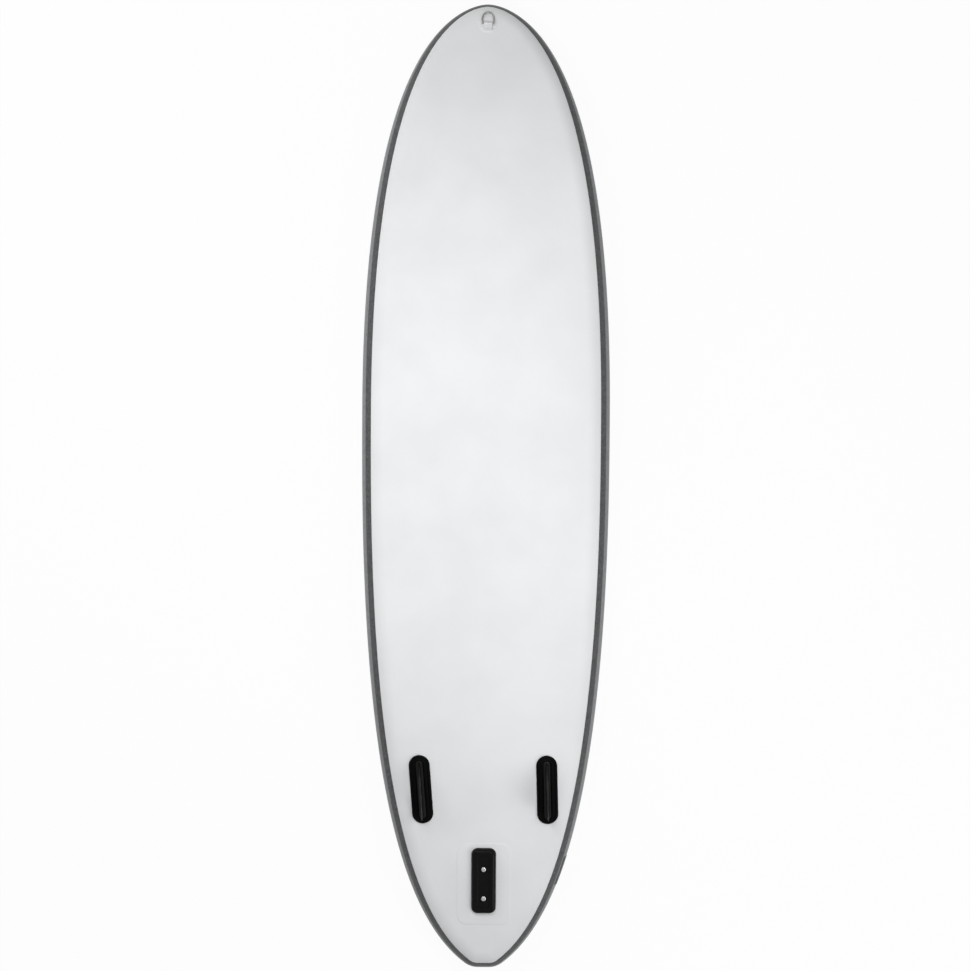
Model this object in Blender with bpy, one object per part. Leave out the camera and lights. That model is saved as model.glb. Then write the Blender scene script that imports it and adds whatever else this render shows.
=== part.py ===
"""Inflatable stand-up paddle board, lying deck down as it is photographed.

+Z is up, out of the board's bottom. +Y runs to the nose. +X is the right of the bottom view.
The floor is z = 0: the board stands on the deck side of its upturned nose and tail.
All sizes are in metres, all angles in degrees.
"""

import math

import bmesh
import bpy
from mathutils import Matrix, Vector

for old in list(bpy.data.objects):
    bpy.data.objects.remove(old, do_unlink=True)

# Hull: a 10 ft 6 in by 32 in by 6 in board
BOARD_LENGTH = 3.200
BOARD_WIDTH = 0.813
BOARD_THICKNESS = 0.152
WIDEST_AHEAD_OF_MIDDLE = 0.236
NOSE_KICK = 0.190
NOSE_KICK_RUN = 1.250
NOSE_KICK_POWER = 2.8
TAIL_KICK = 0.050
TAIL_KICK_RUN = 0.900
TAIL_KICK_POWER = 2.2

# Plan of the flat panel, inside the round rails: two curves and a short straight tail
NOSE_SIDE_HANDLE = 1.280
NOSE_TIP_HANDLE = 0.005
TAIL_SIDE_HANDLE = 0.380
TAIL_CORNER_HANDLE = 0.402
TAIL_CORNER_ANGLE = 52.4
TAIL_END_WIDTH = 0.036
NOSE_STEPS = 20
TAIL_STEPS = 13
CORNER_STEPS = 3

# Skins, rail wall and seam tapes; angles are up the round rail from its widest line
SKIN_THICKNESS = 0.0015
TAPE_THICKNESS = 0.0010
SKIN_EDGE_ANGLE = 43.0
TAPE_OUTER_ANGLE = 35.0
TAPE_INNER_ANGLE = 54.5
SKIN_RAIL_STEPS = 3
SPLICE_FROM_TAIL = 0.240
SPLICE_REAR_CUT = 0.545
SPLICE_FRONT_CUT = 0.767
SPLICE_EDGE_ANGLE = 32.0

# Threads that tie the two skins together, drawn as spaced bundles
THREAD_WIDTH = 0.0020
THREAD_PITCH = 0.060
THREAD_ROWS = 8
THREAD_EDGE_MARGIN = 0.020

# Gap left between pieces that touch, and the wider one over the bent panels
GAP = 0.0003
BENT_GAP = 0.0006

# Longest run of a laid plate between two of its rows, and the strips across one that wraps the nose
ROW_SPACING = 0.035
NOSE_PATCH_STRIPS = 8

# Foam deck pad
PAD_THICKNESS = 0.005
PAD_REAR_FROM_TAIL = 0.640
PAD_LENGTH = 1.560
PAD_SIDE_MARGIN = 0.022
PAD_PANEL_GAP = 0.006
PAD_NOTCH_SIDE_ROOM = 0.010
PAD_NOTCH_END_ROOM = 0.038
PAD_CORNER = 0.060
PAD_STEPS = 6
PAD_ROW_SPACING = 0.130

# Carry handle at the middle of the deck
HANDLE_AHEAD_OF_MIDDLE = 0.020
HANDLE_STRAP_WIDTH = 0.038
HANDLE_STRAP_THICKNESS = 0.0026
HANDLE_LENGTH = 0.300
HANDLE_TAIL = 0.046
HANDLE_GRIP_LENGTH = 0.110
HANDLE_GRIP_WIDTH = 0.046
HANDLE_GRIP_DEPTH = 0.019
HANDLE_GRIP_ROUNDING = 0.0085
HANDLE_RISE = 0.034
HANDLE_PATCH_LENGTH = 0.070
HANDLE_PATCH_WIDTH = 0.074
HANDLE_PATCH_CORNER = 0.015
HANDLE_BEND_STEPS = 8

# Glued patches
PATCH_THICKNESS = 0.0010

# Nose towing ring, and the rings on the deck
NOSE_RING_FROM_NOSE = 0.103
NOSE_RING_WIDTH = 0.043
NOSE_RING_REACH = 0.046
CARGO_RING_WIDTH = 0.034
CARGO_RING_REACH = 0.032
CARGO_REAR_AHEAD_OF_PAD = 0.200
CARGO_FRONT_AHEAD_OF_REAR = 0.370
CARGO_INSIDE_PANEL = 0.075
LEASH_RING_FROM_TAIL = 0.300
LEASH_RING_WIDTH = 0.034
LEASH_RING_REACH = 0.022
RING_WIRE = 0.0048
RING_CORNER = 0.0045
RING_LEG = 0.0120
RING_SIDES = 8
RING_ARC_STEPS = 8
RING_CORNER_STEPS = 3
LOOP_WEBBING = 0.0013
LOOP_TAIL = 0.020
LOOP_CLEARANCE = 0.0004
LOOP_SIDE_CLEARANCE = 0.0012
LOOP_PINCH = 0.0010
LOOP_STEPS = 12
RING_PATCH_DIAMETER = 0.062

# Side fins and their pads
SIDE_FIN_SPREAD = 0.413
SIDE_FIN_FROM_TAIL = 0.612
LEFT_FIN_TURN = 4.4
RIGHT_FIN_TURN = 1.6
FIN_PAD_LENGTH = 0.226
FIN_PAD_WIDTH = 0.069
FIN_PAD_HEIGHT = 0.010
FIN_PAD_EDGE = 0.003
FIN_PAD_BEVEL = 0.007
FIN_POCKET_DEPTH = 0.003
FIN_FOOT_LENGTH = 0.190
FIN_FOOT_WIDTH = 0.022
FIN_FOOT_HEIGHT = 0.0035
FIN_ROOT_LENGTH = 0.182
FIN_ROOT_THICKNESS = 0.0135
FIN_TIP_THICKNESS = 0.0080
FIN_HEIGHT = 0.108
FIN_TIP_LENGTH = 0.034
FIN_TIP_BEHIND_MIDDLE = 0.064
FIN_FRONT_CURVE = 1.25
FIN_REAR_CURVE = 1.80
FIN_REAR_HOLLOW = 0.012
FIN_FRONT_FULLNESS = 0.22
FIN_TIP_TAPER = 0.55
FIN_LEVELS = 8

# Centre fin box with its two screws
FIN_BOX_FROM_TAIL = 0.313
FIN_BOX_LENGTH = 0.218
FIN_BOX_WIDTH = 0.081
FIN_BOX_HEIGHT = 0.018
FIN_BOX_CORNER = 0.021
FIN_BOX_EDGE = 0.006
FIN_BOX_BEVEL = 0.0075
CHANNEL_LENGTH = 0.176
CHANNEL_WIDTH = 0.038
CHANNEL_DEPTH = 0.0065
CHANNEL_CORNER = 0.0095
SCREW_SPACING = 0.098
SCREWS_BEHIND_MIDDLE = 0.010
SCREW_HEAD_DIAMETER = 0.0165
SCREW_HEAD_HEIGHT = 0.0034
SCREW_HEAD_RIM = 0.0015
SCREW_HEAD_CROWN = 0.0037
SCREW_POINT = 0.0009
SCREW_SHANK_DIAMETER = 0.0060
SCREW_SHANK_LENGTH = 0.0060
SCREW_SLOT_LENGTH = 0.0102
SCREW_SLOT_WIDTH = 0.0016
SCREW_SLOT_DEPTH = 0.0012
COUNTERBORE_DIAMETER = 0.023
COUNTERBORE_DEPTH = 0.0040
INSERT_DIAMETER = 0.0110
INSERT_LENGTH = 0.0052
FIN_BOX_PATCH_LENGTH = 0.276
FIN_BOX_PATCH_WIDTH = 0.178
FIN_BOX_PATCH_CORNER = 0.034
FIN_BOX_PATCH_BEHIND = 0.012

# Inflation valve behind the deck pad
VALVE_FROM_TAIL = 0.480
VALVE_BORE = 0.0160
VALVE_WALL = 0.0050
VALVE_FLANGE_WIDTH = 0.0090
VALVE_FLANGE_HEIGHT = 0.0040
VALVE_FLANGE_CHAMFER = 0.0015
VALVE_DEPTH = 0.0300
SPIDER_HEIGHT = 0.0035
SPIDER_HUB_RADIUS = 0.0060
SPIDER_ARM_WIDTH = 0.0040
BACK_NUT_HEIGHT = 0.0070
BACK_NUT_WALL = 0.0080
GASKET_THICKNESS = 0.0020
STEM_RADIUS = 0.0028
STEM_BUTTON_RADIUS = 0.0058
STEM_BUTTON_HEIGHT = 0.0040
STEM_BUTTON_INSET = 0.0100
STEM_BUTTON_CHAMFER = 0.0008
SEAL_OVERLAP = 0.0030
STEM_DISC_HEIGHT = 0.0020
SEAL_THICKNESS = 0.0020
SPRING_TURNS = 5
SPRING_WIRE = 0.0009
SPRING_CLEARANCE = 0.0013
SPRING_TURN_STEPS = 9
SPRING_WIRE_SIDES = 5
CAP_RIM_HEIGHT = 0.0035
CAP_SHOULDER_HEIGHT = 0.0050
CAP_FACE_HEIGHT = 0.0060
CAP_SHOULDER_INSET = 0.0040
CAP_FACE_INSET = 0.0120
CAP_PLUG_DEPTH = 0.0060
CAP_PLUG_WALL = 0.0018
CAP_SEAL_WIRE = 0.0022
CAP_SEAL_SIDES = 6
CAP_GRIP_LENGTH = 0.044
CAP_GRIP_WIDTH = 0.0080
CAP_GRIP_HEIGHT = 0.0060
CAP_GRIP_CHAMFER = 0.0020
ROUND_SIDES = 24

RAIL = BOARD_THICKNESS / 2
NOSE_END = BOARD_LENGTH / 2
TAIL_END = -BOARD_LENGTH / 2
PANEL_NOSE = NOSE_END - RAIL
PANEL_TAIL = TAIL_END + RAIL
PANEL_HALF_WIDTH = BOARD_WIDTH / 2 - RAIL
BOTTOM = 1
DECK = -1
HANDLE_Y = HANDLE_AHEAD_OF_MIDDLE
VALVE_Y = TAIL_END + VALVE_FROM_TAIL
VALVE_BARREL = VALVE_BORE + VALVE_WALL
VALVE_HOLE = VALVE_BARREL + 2 * GAP
VALVE_FLANGE = VALVE_BARREL + VALVE_FLANGE_WIDTH


def material(name, red, green, blue, roughness, metallic=0.0):
    made = bpy.data.materials.new(name)
    made.use_nodes = True
    shader = made.node_tree.nodes["Principled BSDF"]
    shader.inputs["Base Color"].default_value = (red, green, blue, 1.0)
    shader.inputs["Roughness"].default_value = roughness
    shader.inputs["Metallic"].default_value = metallic
    made.diffuse_color = (red, green, blue, 1.0)
    return made


WHITE_PVC = material("white_pvc", 0.84, 0.85, 0.87, 0.45)
PALE_GREY_PVC = material("pale_grey_pvc", 0.60, 0.60, 0.62, 0.50)
RAIL_GREY_PVC = material("rail_grey_pvc", 0.25, 0.25, 0.26, 0.50)
TAPE_GREY_PVC = material("tape_grey_pvc", 0.10, 0.10, 0.105, 0.50)
BLACK_PLASTIC = material("black_plastic", 0.012, 0.012, 0.013, 0.38)
BLACK_RUBBER = material("black_rubber", 0.020, 0.020, 0.021, 0.60)
BLACK_WEBBING = material("black_webbing", 0.022, 0.022, 0.024, 0.85)
WHITE_WEBBING = material("white_webbing", 0.66, 0.66, 0.67, 0.85)
GREY_FOAM = material("grey_foam", 0.16, 0.17, 0.18, 0.90)
THREAD = material("polyester_thread", 0.75, 0.75, 0.72, 0.80)
STEEL = material("stainless_steel", 0.62, 0.62, 0.61, 0.28, 1.0)
BRASS = material("brass", 0.70, 0.50, 0.22, 0.35, 1.0)


# Rocker of the surface midway between deck and bottom
def kick(y):
    nose = max(0.0, (y - NOSE_END + NOSE_KICK_RUN) / NOSE_KICK_RUN)
    tail = max(0.0, (TAIL_END + TAIL_KICK_RUN - y) / TAIL_KICK_RUN)
    return NOSE_KICK * nose**NOSE_KICK_POWER + TAIL_KICK * tail**TAIL_KICK_POWER


def kick_slope(y):
    nose = max(0.0, (y - NOSE_END + NOSE_KICK_RUN) / NOSE_KICK_RUN)
    tail = max(0.0, (TAIL_END + TAIL_KICK_RUN - y) / TAIL_KICK_RUN)
    rise = NOSE_KICK * NOSE_KICK_POWER / NOSE_KICK_RUN * nose ** (NOSE_KICK_POWER - 1)
    return rise - TAIL_KICK * TAIL_KICK_POWER / TAIL_KICK_RUN * tail ** (TAIL_KICK_POWER - 1)


def rail_angles(start, end, steps):
    return [start + (end - start) * i / steps for i in range(steps + 1)]


SKIN_ANGLES = [SKIN_EDGE_ANGLE] + rail_angles(TAPE_INNER_ANGLE, 90.0, SKIN_RAIL_STEPS)


# The lie on the floor: the pitch and height at which the deck side of nose and tail both touch z = 0
def lowest_below_middle(y, outward, pitch):
    slope = pitch - kick_slope(y)
    size = math.hypot(1.0, slope)
    return max(
        RAIL * (math.sin(math.radians(a)) - outward * slope * math.cos(math.radians(a))) / size
        for a in SKIN_ANGLES
    )


PITCH = 0.0
for _ in range(6):
    NOSE_DROP = lowest_below_middle(PANEL_NOSE, 1, PITCH) + kick(PANEL_NOSE)
    TAIL_DROP = lowest_below_middle(PANEL_TAIL, -1, PITCH) + kick(PANEL_TAIL)
    PITCH = (NOSE_DROP - TAIL_DROP) / (PANEL_NOSE - PANEL_TAIL)
LIFT = TAIL_DROP - PITCH * PANEL_TAIL


def middle_point(x, y):
    return Vector((x, y, LIFT + PITCH * y - kick(y)))


def along(y):
    return Vector((0.0, 1.0, PITCH - kick_slope(y))).normalized()


def upward(y):
    tangent = along(y)
    return Vector((0.0, -tangent.z, tangent.y))


def surface_frame(x, y, side, turn=0.0, lift=0.0):
    """Frame on the outer face of a skin: local Z points out of it, local Y along the board to the nose."""
    out = upward(y) * side
    forward = along(y)
    right = forward.cross(out)
    place = middle_point(x, y) + out * (RAIL + lift)
    axes = Matrix((right, forward, out)).transposed().to_4x4()
    return Matrix.Translation(place) @ axes @ Matrix.Rotation(math.radians(turn), 4, "Z")


# Plan of the flat panel's edge, from the tail corner round the right side to the nose
def bezier(p0, p1, p2, p3, t):
    s = 1.0 - t
    return p0 * s**3 + p1 * (3 * s * s * t) + p2 * (3 * s * t * t) + p3 * t**3


def bezier_tangent(p0, p1, p2, p3, t):
    s = 1.0 - t
    return ((p1 - p0) * s * s + (p2 - p1) * (2 * s * t) + (p3 - p2) * t * t).normalized()


def panel_edge():
    corner_angle = math.radians(TAIL_CORNER_ANGLE)
    corner = Vector((TAIL_END_WIDTH / 2, PANEL_TAIL))
    widest = Vector((PANEL_HALF_WIDTH, WIDEST_AHEAD_OF_MIDDLE))
    tip = Vector((0.0, PANEL_NOSE))
    leaving = Vector((math.sin(corner_angle), math.cos(corner_angle)))
    tail = (
        corner,
        corner + leaving * TAIL_CORNER_HANDLE,
        widest - Vector((0.0, TAIL_SIDE_HANDLE)),
        widest,
    )
    nose = (
        widest,
        widest + Vector((0.0, NOSE_SIDE_HANDLE)),
        tip + Vector((NOSE_TIP_HANDLE, 0.0)),
        tip,
    )
    edge = []
    for i in range(CORNER_STEPS):
        angle = -math.pi / 2 + (math.pi / 2 - corner_angle) * i / CORNER_STEPS
        edge.append((corner, Vector((math.cos(angle), math.sin(angle)))))
    for curve, steps in ((tail, TAIL_STEPS), (nose, NOSE_STEPS)):
        for i in range(steps):
            tangent = bezier_tangent(*curve, i / steps)
            edge.append((bezier(*curve, i / steps), Vector((tangent.y, -tangent.x))))
    edge.append((tip, Vector((0.0, 1.0))))
    return edge


RIGHT_EDGE = panel_edge()
LEFT_EDGE = [(Vector((-p.x, p.y)), Vector((-n.x, n.y))) for p, n in RIGHT_EDGE[-2::-1]]
EDGE_LOOP = RIGHT_EDGE + LEFT_EDGE


def panel_half_width(y):
    points = [p for p, _ in RIGHT_EDGE]
    for low, high in zip(points, points[1:]):
        if low.y <= y <= high.y and high.y > low.y:
            return low.x + (high.x - low.x) * (y - low.y) / (high.y - low.y)
    return 0.0


def rail_point(station, angle, radius):
    """A point on the round rail: angle 0 is the widest line, 90 the bottom, -90 the deck."""
    point, normal = station
    tilt = math.radians(angle)
    out = Vector((normal.x, 0.0, 0.0)) + along(point.y) * normal.y
    return (
        middle_point(point.x, point.y)
        + out * (radius * math.cos(tilt))
        + upward(point.y) * (radius * math.sin(tilt))
    )


def nearest_on_edge(x, y):
    """The point of the flat panel's edge that lies nearest to a place outside it."""
    spot = Vector((abs(x), y))
    feet = []
    for (low, _), (high, _) in zip(RIGHT_EDGE, RIGHT_EDGE[1:]):
        run = high - low
        if run.length > 0:
            share = (spot - low).dot(run) / run.length_squared
            feet.append(low + run * min(1.0, max(0.0, share)))
    foot = min(feet, key=lambda point: (spot - point).length)
    return Vector((math.copysign(foot.x, x), foot.y))


def laid_point(x, y, side, height):
    """A point over the outer face of a skin; past the flat panel it follows the round rail."""
    if PANEL_TAIL <= y <= PANEL_NOSE and abs(x) <= panel_half_width(y):
        return middle_point(x, y) + upward(y) * side * (RAIL + height)
    foot = nearest_on_edge(x, y)
    away = Vector((x, y)) - foot
    angle = 90.0 - math.degrees(away.length / RAIL)
    return rail_point((foot, away.normalized()), side * angle, RAIL + height)


# Making of objects
def add_object(name, mesh_data, slot, smooth_angle=40.0):
    mesh = bpy.data.meshes.new(name)
    mesh_data.normal_update()
    mesh_data.to_mesh(mesh)
    mesh_data.free()
    mesh.materials.append(slot)
    mesh.shade_smooth()
    mesh.set_sharp_from_angle(angle=math.radians(smooth_angle))
    made = bpy.data.objects.new(name, mesh)
    bpy.context.scene.collection.objects.link(made)
    return made


def close_and_clean(mesh_data):
    bmesh.ops.remove_doubles(mesh_data, verts=mesh_data.verts, dist=1e-6)
    bmesh.ops.dissolve_degenerate(mesh_data, edges=mesh_data.edges, dist=1e-6)
    bmesh.ops.recalc_face_normals(mesh_data, faces=mesh_data.faces)
    return mesh_data


def stack_loops(loops, closed_ends=True):
    """A closed solid through loops of points that hold the same number each."""
    mesh_data = bmesh.new()
    rings = [[mesh_data.verts.new(p) for p in loop] for loop in loops]
    for low, high in zip(rings, rings[1:]):
        for i in range(len(low)):
            j = (i + 1) % len(low)
            mesh_data.faces.new((low[i], low[j], high[j], high[i]))
    if closed_ends:
        mesh_data.faces.new(rings[0][::-1])
        mesh_data.faces.new(rings[-1])
    else:
        first, last = rings[0], rings[-1]
        for i in range(len(first)):
            j = (i + 1) % len(first)
            mesh_data.faces.new((last[i], last[j], first[j], first[i]))
    return close_and_clean(mesh_data)


def round_loop(radius, height, sides=ROUND_SIDES, phase=0.0):
    step = 2 * math.pi / sides
    return [
        Vector((radius * math.cos(step * i + phase), radius * math.sin(step * i + phase), height))
        for i in range(sides)
    ]


def turned(profile, sides=ROUND_SIDES):
    """A solid of revolution about local Z, from (radius, height) points down its outer side."""
    return stack_loops([round_loop(radius, height, sides) for radius, height in profile])


def turned_ring(profile, sides=ROUND_SIDES):
    """A ring about local Z, from a closed profile of (radius, height) points."""
    return stack_loops([round_loop(r, h, sides) for r, h in profile], closed_ends=False)


def rounded_outline(length, width, corner, steps=5):
    """Points of a rectangle with round corners, length along Y."""
    corner = min(corner, length / 2, width / 2)
    centres = (
        (width / 2 - corner, length / 2 - corner, 0),
        (-width / 2 + corner, length / 2 - corner, 90),
        (-width / 2 + corner, -length / 2 + corner, 180),
        (width / 2 - corner, -length / 2 + corner, 270),
    )
    points = []
    for x, y, start in centres:
        for i in range(steps + 1):
            angle = math.radians(start + 90.0 * i / steps)
            point = Vector((x + corner * math.cos(angle), y + corner * math.sin(angle), 0.0))
            if not points or (point - points[-1]).length > 1e-7:
                points.append(point)
    if (points[0] - points[-1]).length < 1e-7:
        points.pop()
    return points


def raised(points, height):
    return [Vector((p.x, p.y, height)) for p in points]


def block(outline_levels):
    """A solid through (outline, height) levels."""
    return stack_loops([raised(outline, height) for outline, height in outline_levels])


def box_data(size, centre):
    mesh_data = bmesh.new()
    bmesh.ops.create_cube(mesh_data, size=1.0)
    bmesh.ops.scale(mesh_data, vec=Vector(size), verts=mesh_data.verts)
    bmesh.ops.translate(mesh_data, vec=Vector(centre), verts=mesh_data.verts)
    return mesh_data


def placed(made, frame):
    made.matrix_world = frame
    return made


def cutter(name, mesh_data, frame):
    made = add_object(name, mesh_data, BLACK_PLASTIC)
    made.hide_render = True
    made.display_type = "WIRE"
    return placed(made, frame)


def boolean(made, other, operation="DIFFERENCE"):
    modifier = made.modifiers.new(other.name, "BOOLEAN")
    modifier.operation = operation
    modifier.object = other
    modifier.solver = "EXACT"


# Hull pieces
def skin(name, side, slot):
    """A panel and its share of the round rail, with its thickness inside the rail's radius."""
    mesh_data = bmesh.new()
    faces_of = []
    for radius in (RAIL, RAIL - SKIN_THICKNESS):
        rings = [
            [mesh_data.verts.new(rail_point(s, side * angle, radius)) for s in EDGE_LOOP]
            for angle in SKIN_ANGLES
        ]
        for low, high in zip(rings, rings[1:]):
            for i in range(len(low)):
                j = (i + 1) % len(low)
                mesh_data.faces.new((low[i], low[j], high[j], high[i]))
        panel = rings[-1]
        tip = len(RIGHT_EDGE) - 1
        for i in range(tip - 1):
            row, next_row = len(EDGE_LOOP) - 1 - i, len(EDGE_LOOP) - 2 - i
            mesh_data.faces.new((panel[i], panel[i + 1], panel[next_row], panel[row]))
        mesh_data.faces.new((panel[tip - 1], panel[tip], panel[tip + 1]))
        faces_of.append(rings[0])
    outer, inner = faces_of
    for i in range(len(outer)):
        j = (i + 1) % len(outer)
        mesh_data.faces.new((outer[i], outer[j], inner[j], inner[i]))
    return add_object(name, close_and_clean(mesh_data), slot)


def band_loops(angles, inner_radius, thickness, stations):
    """Sections of a strip along the rail, one at each station."""
    outer_radius = inner_radius + thickness
    section = [(a, outer_radius) for a in angles] + [(a, inner_radius) for a in angles[::-1]]
    return [[rail_point(s, a, r) for a, r in section] for s in stations]


def rail_band(name, angles, inner_radius, thickness, slot):
    """A strip all the way round the rail."""
    loops = band_loops(angles, inner_radius, thickness, EDGE_LOOP)
    return add_object(name, stack_loops(loops, closed_ends=False), slot)


def draped_plate(name, rows, place, side, thickness, lift, slot, strips=1):
    """A thin plate laid on a bent skin: rows of (y, left x, right x) about a place on the board."""
    mesh_data = bmesh.new()
    sheets = [
        [
            [
                mesh_data.verts.new(
                    laid_point(
                        place[0] + left + (right - left) * i / strips, place[1] + y, side, height
                    )
                )
                for i in range(strips + 1)
            ]
            for y, left, right in rows
        ]
        for height in (lift, lift + thickness)
    ]
    for sheet in sheets:
        for row, next_row in zip(sheet, sheet[1:]):
            for i in range(strips):
                mesh_data.faces.new((row[i], row[i + 1], next_row[i + 1], next_row[i]))
    low, high = sheets
    for end in (0, -1):
        for i in range(strips):
            mesh_data.faces.new((low[end][i], low[end][i + 1], high[end][i + 1], high[end][i]))
        for a in range(len(rows) - 1):
            b = a + 1
            mesh_data.faces.new((low[a][end], low[b][end], high[b][end], high[a][end]))
    return add_object(name, close_and_clean(mesh_data), slot)


def rounded_rows(length, width, corner, steps=5):
    """Rows of (y, left x, right x) down a rectangle with round corners, close enough to follow a bend."""
    straight = length / 2 - corner
    rows = []
    for i in range(steps):
        angle = math.pi / 2 * (i + 0.5) / (steps + 0.5)
        inset = corner * (1 - math.sin(angle))
        rows.append((-straight - corner * math.cos(angle), inset - width / 2, width / 2 - inset))
    spans = math.ceil(2 * straight / ROW_SPACING)
    shares = [2 * i / spans - 1 for i in range(spans + 1)] if spans > 0 else [0.0]
    middle = [(straight * share, -width / 2, width / 2) for share in shares]
    return rows + middle + [(-y, left, right) for y, left, right in rows[::-1]]


def make_hull():
    skin("bottom_skin", BOTTOM, WHITE_PVC)
    deck = skin("deck_skin", DECK, WHITE_PVC)
    hole = cutter(
        "valve_hole",
        turned([(VALVE_HOLE, -0.02), (VALVE_HOLE, 0.02)]),
        surface_frame(0.0, VALVE_Y, DECK),
    )
    boolean(deck, hole)

    wall_edge = SKIN_EDGE_ANGLE - math.degrees(GAP / RAIL)
    half = TAPE_OUTER_ANGLE / 2
    wall_angles = [-wall_edge, -TAPE_OUTER_ANGLE, -half, 0.0, half, TAPE_OUTER_ANGLE, wall_edge]
    rail_band("rail_wall", wall_angles, RAIL - SKIN_THICKNESS, SKIN_THICKNESS, RAIL_GREY_PVC)
    over = RAIL + GAP
    for name, side in (("bottom_seam_tape", BOTTOM), ("deck_seam_tape", DECK)):
        angles = [side * a for a in (TAPE_OUTER_ANGLE, SKIN_EDGE_ANGLE, TAPE_INNER_ANGLE)]
        rail_band(name, angles, over, TAPE_THICKNESS, TAPE_GREY_PVC)

    start = TAIL_END + SPLICE_FROM_TAIL
    first = next(i for i, (point, _) in enumerate(RIGHT_EDGE) if point.y >= start)
    edge = SPLICE_EDGE_ANGLE
    angles = [-edge, -half, 0.0, half, edge]
    rear, middle, front = band_loops(angles, over, TAPE_THICKNESS, RIGHT_EDGE[first : first + 3])
    rear = [a.lerp(b, SPLICE_REAR_CUT) for a, b in zip(rear, middle)]
    front = [a.lerp(b, SPLICE_FRONT_CUT) for a, b in zip(front, middle)]
    patch = stack_loops([rear, middle, front], closed_ends=True)
    add_object("rail_splice_patch", patch, TAPE_GREY_PVC)


def make_threads():
    """Yarns of the drop-stitch weave: each runs across the board, up and down between the skins."""
    reach = RAIL - SKIN_THICKNESS - BENT_GAP - THREAD_WIDTH / 2
    half = THREAD_WIDTH / 2
    for number in range(THREAD_ROWS):
        y = PANEL_TAIL + (PANEL_NOSE - PANEL_TAIL) * (number + 0.5) / THREAD_ROWS
        out, forward, right = upward(y), along(y), Vector((1.0, 0.0, 0.0))
        room = panel_half_width(y) - THREAD_EDGE_MARGIN
        legs = max(1, int(2 * room / THREAD_PITCH))
        path = []
        for leg in range(legs + 1):
            side = 1 if leg % 2 == 0 else -1
            x = THREAD_PITCH * (leg - legs / 2)
            path += [(x, -side * reach), (x, side * reach)]
        loops = []
        for i, (x, height) in enumerate(path):
            before, after = path[max(i - 1, 0)], path[min(i + 1, len(path) - 1)]
            left_of_run = (before[1] - after[1], after[0] - before[0])
            across = Vector([math.copysign(half, c) if abs(c) > GAP else 0.0 for c in left_of_run])
            centre = middle_point(x, y) + out * height
            wide = right * across.x + out * across.y
            loops.append(
                [
                    centre - wide - forward * half,
                    centre + wide - forward * half,
                    centre + wide + forward * half,
                    centre - wide + forward * half,
                ]
            )
        add_object("drop_thread_row_" + str(number + 1), stack_loops(loops), THREAD, 20.0)


# Deck pad: a front and a rear panel, and a pair beside the handle
def pad_side(y):
    return panel_half_width(y) - PAD_SIDE_MARGIN


def pad_rows(start, end, left, right, round_start, round_end):
    """Rows from start to end; a round end draws its corners in over a quarter ellipse."""
    breaks = {start, end}
    steps = max(2, int((end - start) / PAD_ROW_SPACING))
    breaks |= {start + (end - start) * i / steps for i in range(steps + 1)}
    for i in range(PAD_STEPS + 1):
        along_corner = PAD_CORNER * (1 - math.cos(math.pi / 2 * i / PAD_STEPS))
        if round_start:
            breaks.add(start + along_corner)
        if round_end:
            breaks.add(end - along_corner)
    rows = []
    for y in sorted(breaks):
        if rows and y - rows[-1][0] < GAP:
            continue
        inset = 0.0
        for rounded, edge in ((round_start, y - start), (round_end, end - y)):
            if rounded and edge < PAD_CORNER:
                inset = PAD_CORNER * (1 - math.sqrt(max(0.0, 1 - (1 - edge / PAD_CORNER) ** 2)))
        rows.append((y, left(y) + inset, right(y) - inset))
    return rows


def make_deck_pad():
    rear = TAIL_END + PAD_REAR_FROM_TAIL
    front = rear + PAD_LENGTH
    half_length = (HANDLE_LENGTH - HANDLE_TAIL + HANDLE_PATCH_LENGTH) / 2 + PAD_NOTCH_END_ROOM
    notch_rear = HANDLE_Y - half_length
    notch_front = HANDLE_Y + half_length
    half_notch = HANDLE_PATCH_WIDTH / 2 + PAD_NOTCH_SIDE_ROOM

    def outer_left(y):
        return -pad_side(y)

    def notch_left(y):
        return -half_notch

    def notch_right(y):
        return half_notch

    panels = (
        ("deck_pad_rear", rear, notch_rear - PAD_PANEL_GAP, outer_left, pad_side, True, False),
        ("deck_pad_left", notch_rear, notch_front, outer_left, notch_left, False, False),
        ("deck_pad_right", notch_rear, notch_front, notch_right, pad_side, False, False),
        ("deck_pad_front", notch_front + PAD_PANEL_GAP, front, outer_left, pad_side, False, True),
    )
    for name, start, end, left, right, round_start, round_end in panels:
        rows = pad_rows(start, end, left, right, round_start, round_end)
        draped_plate(name, rows, (0.0, 0.0), DECK, PAD_THICKNESS, BENT_GAP, GREY_FOAM)


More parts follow.
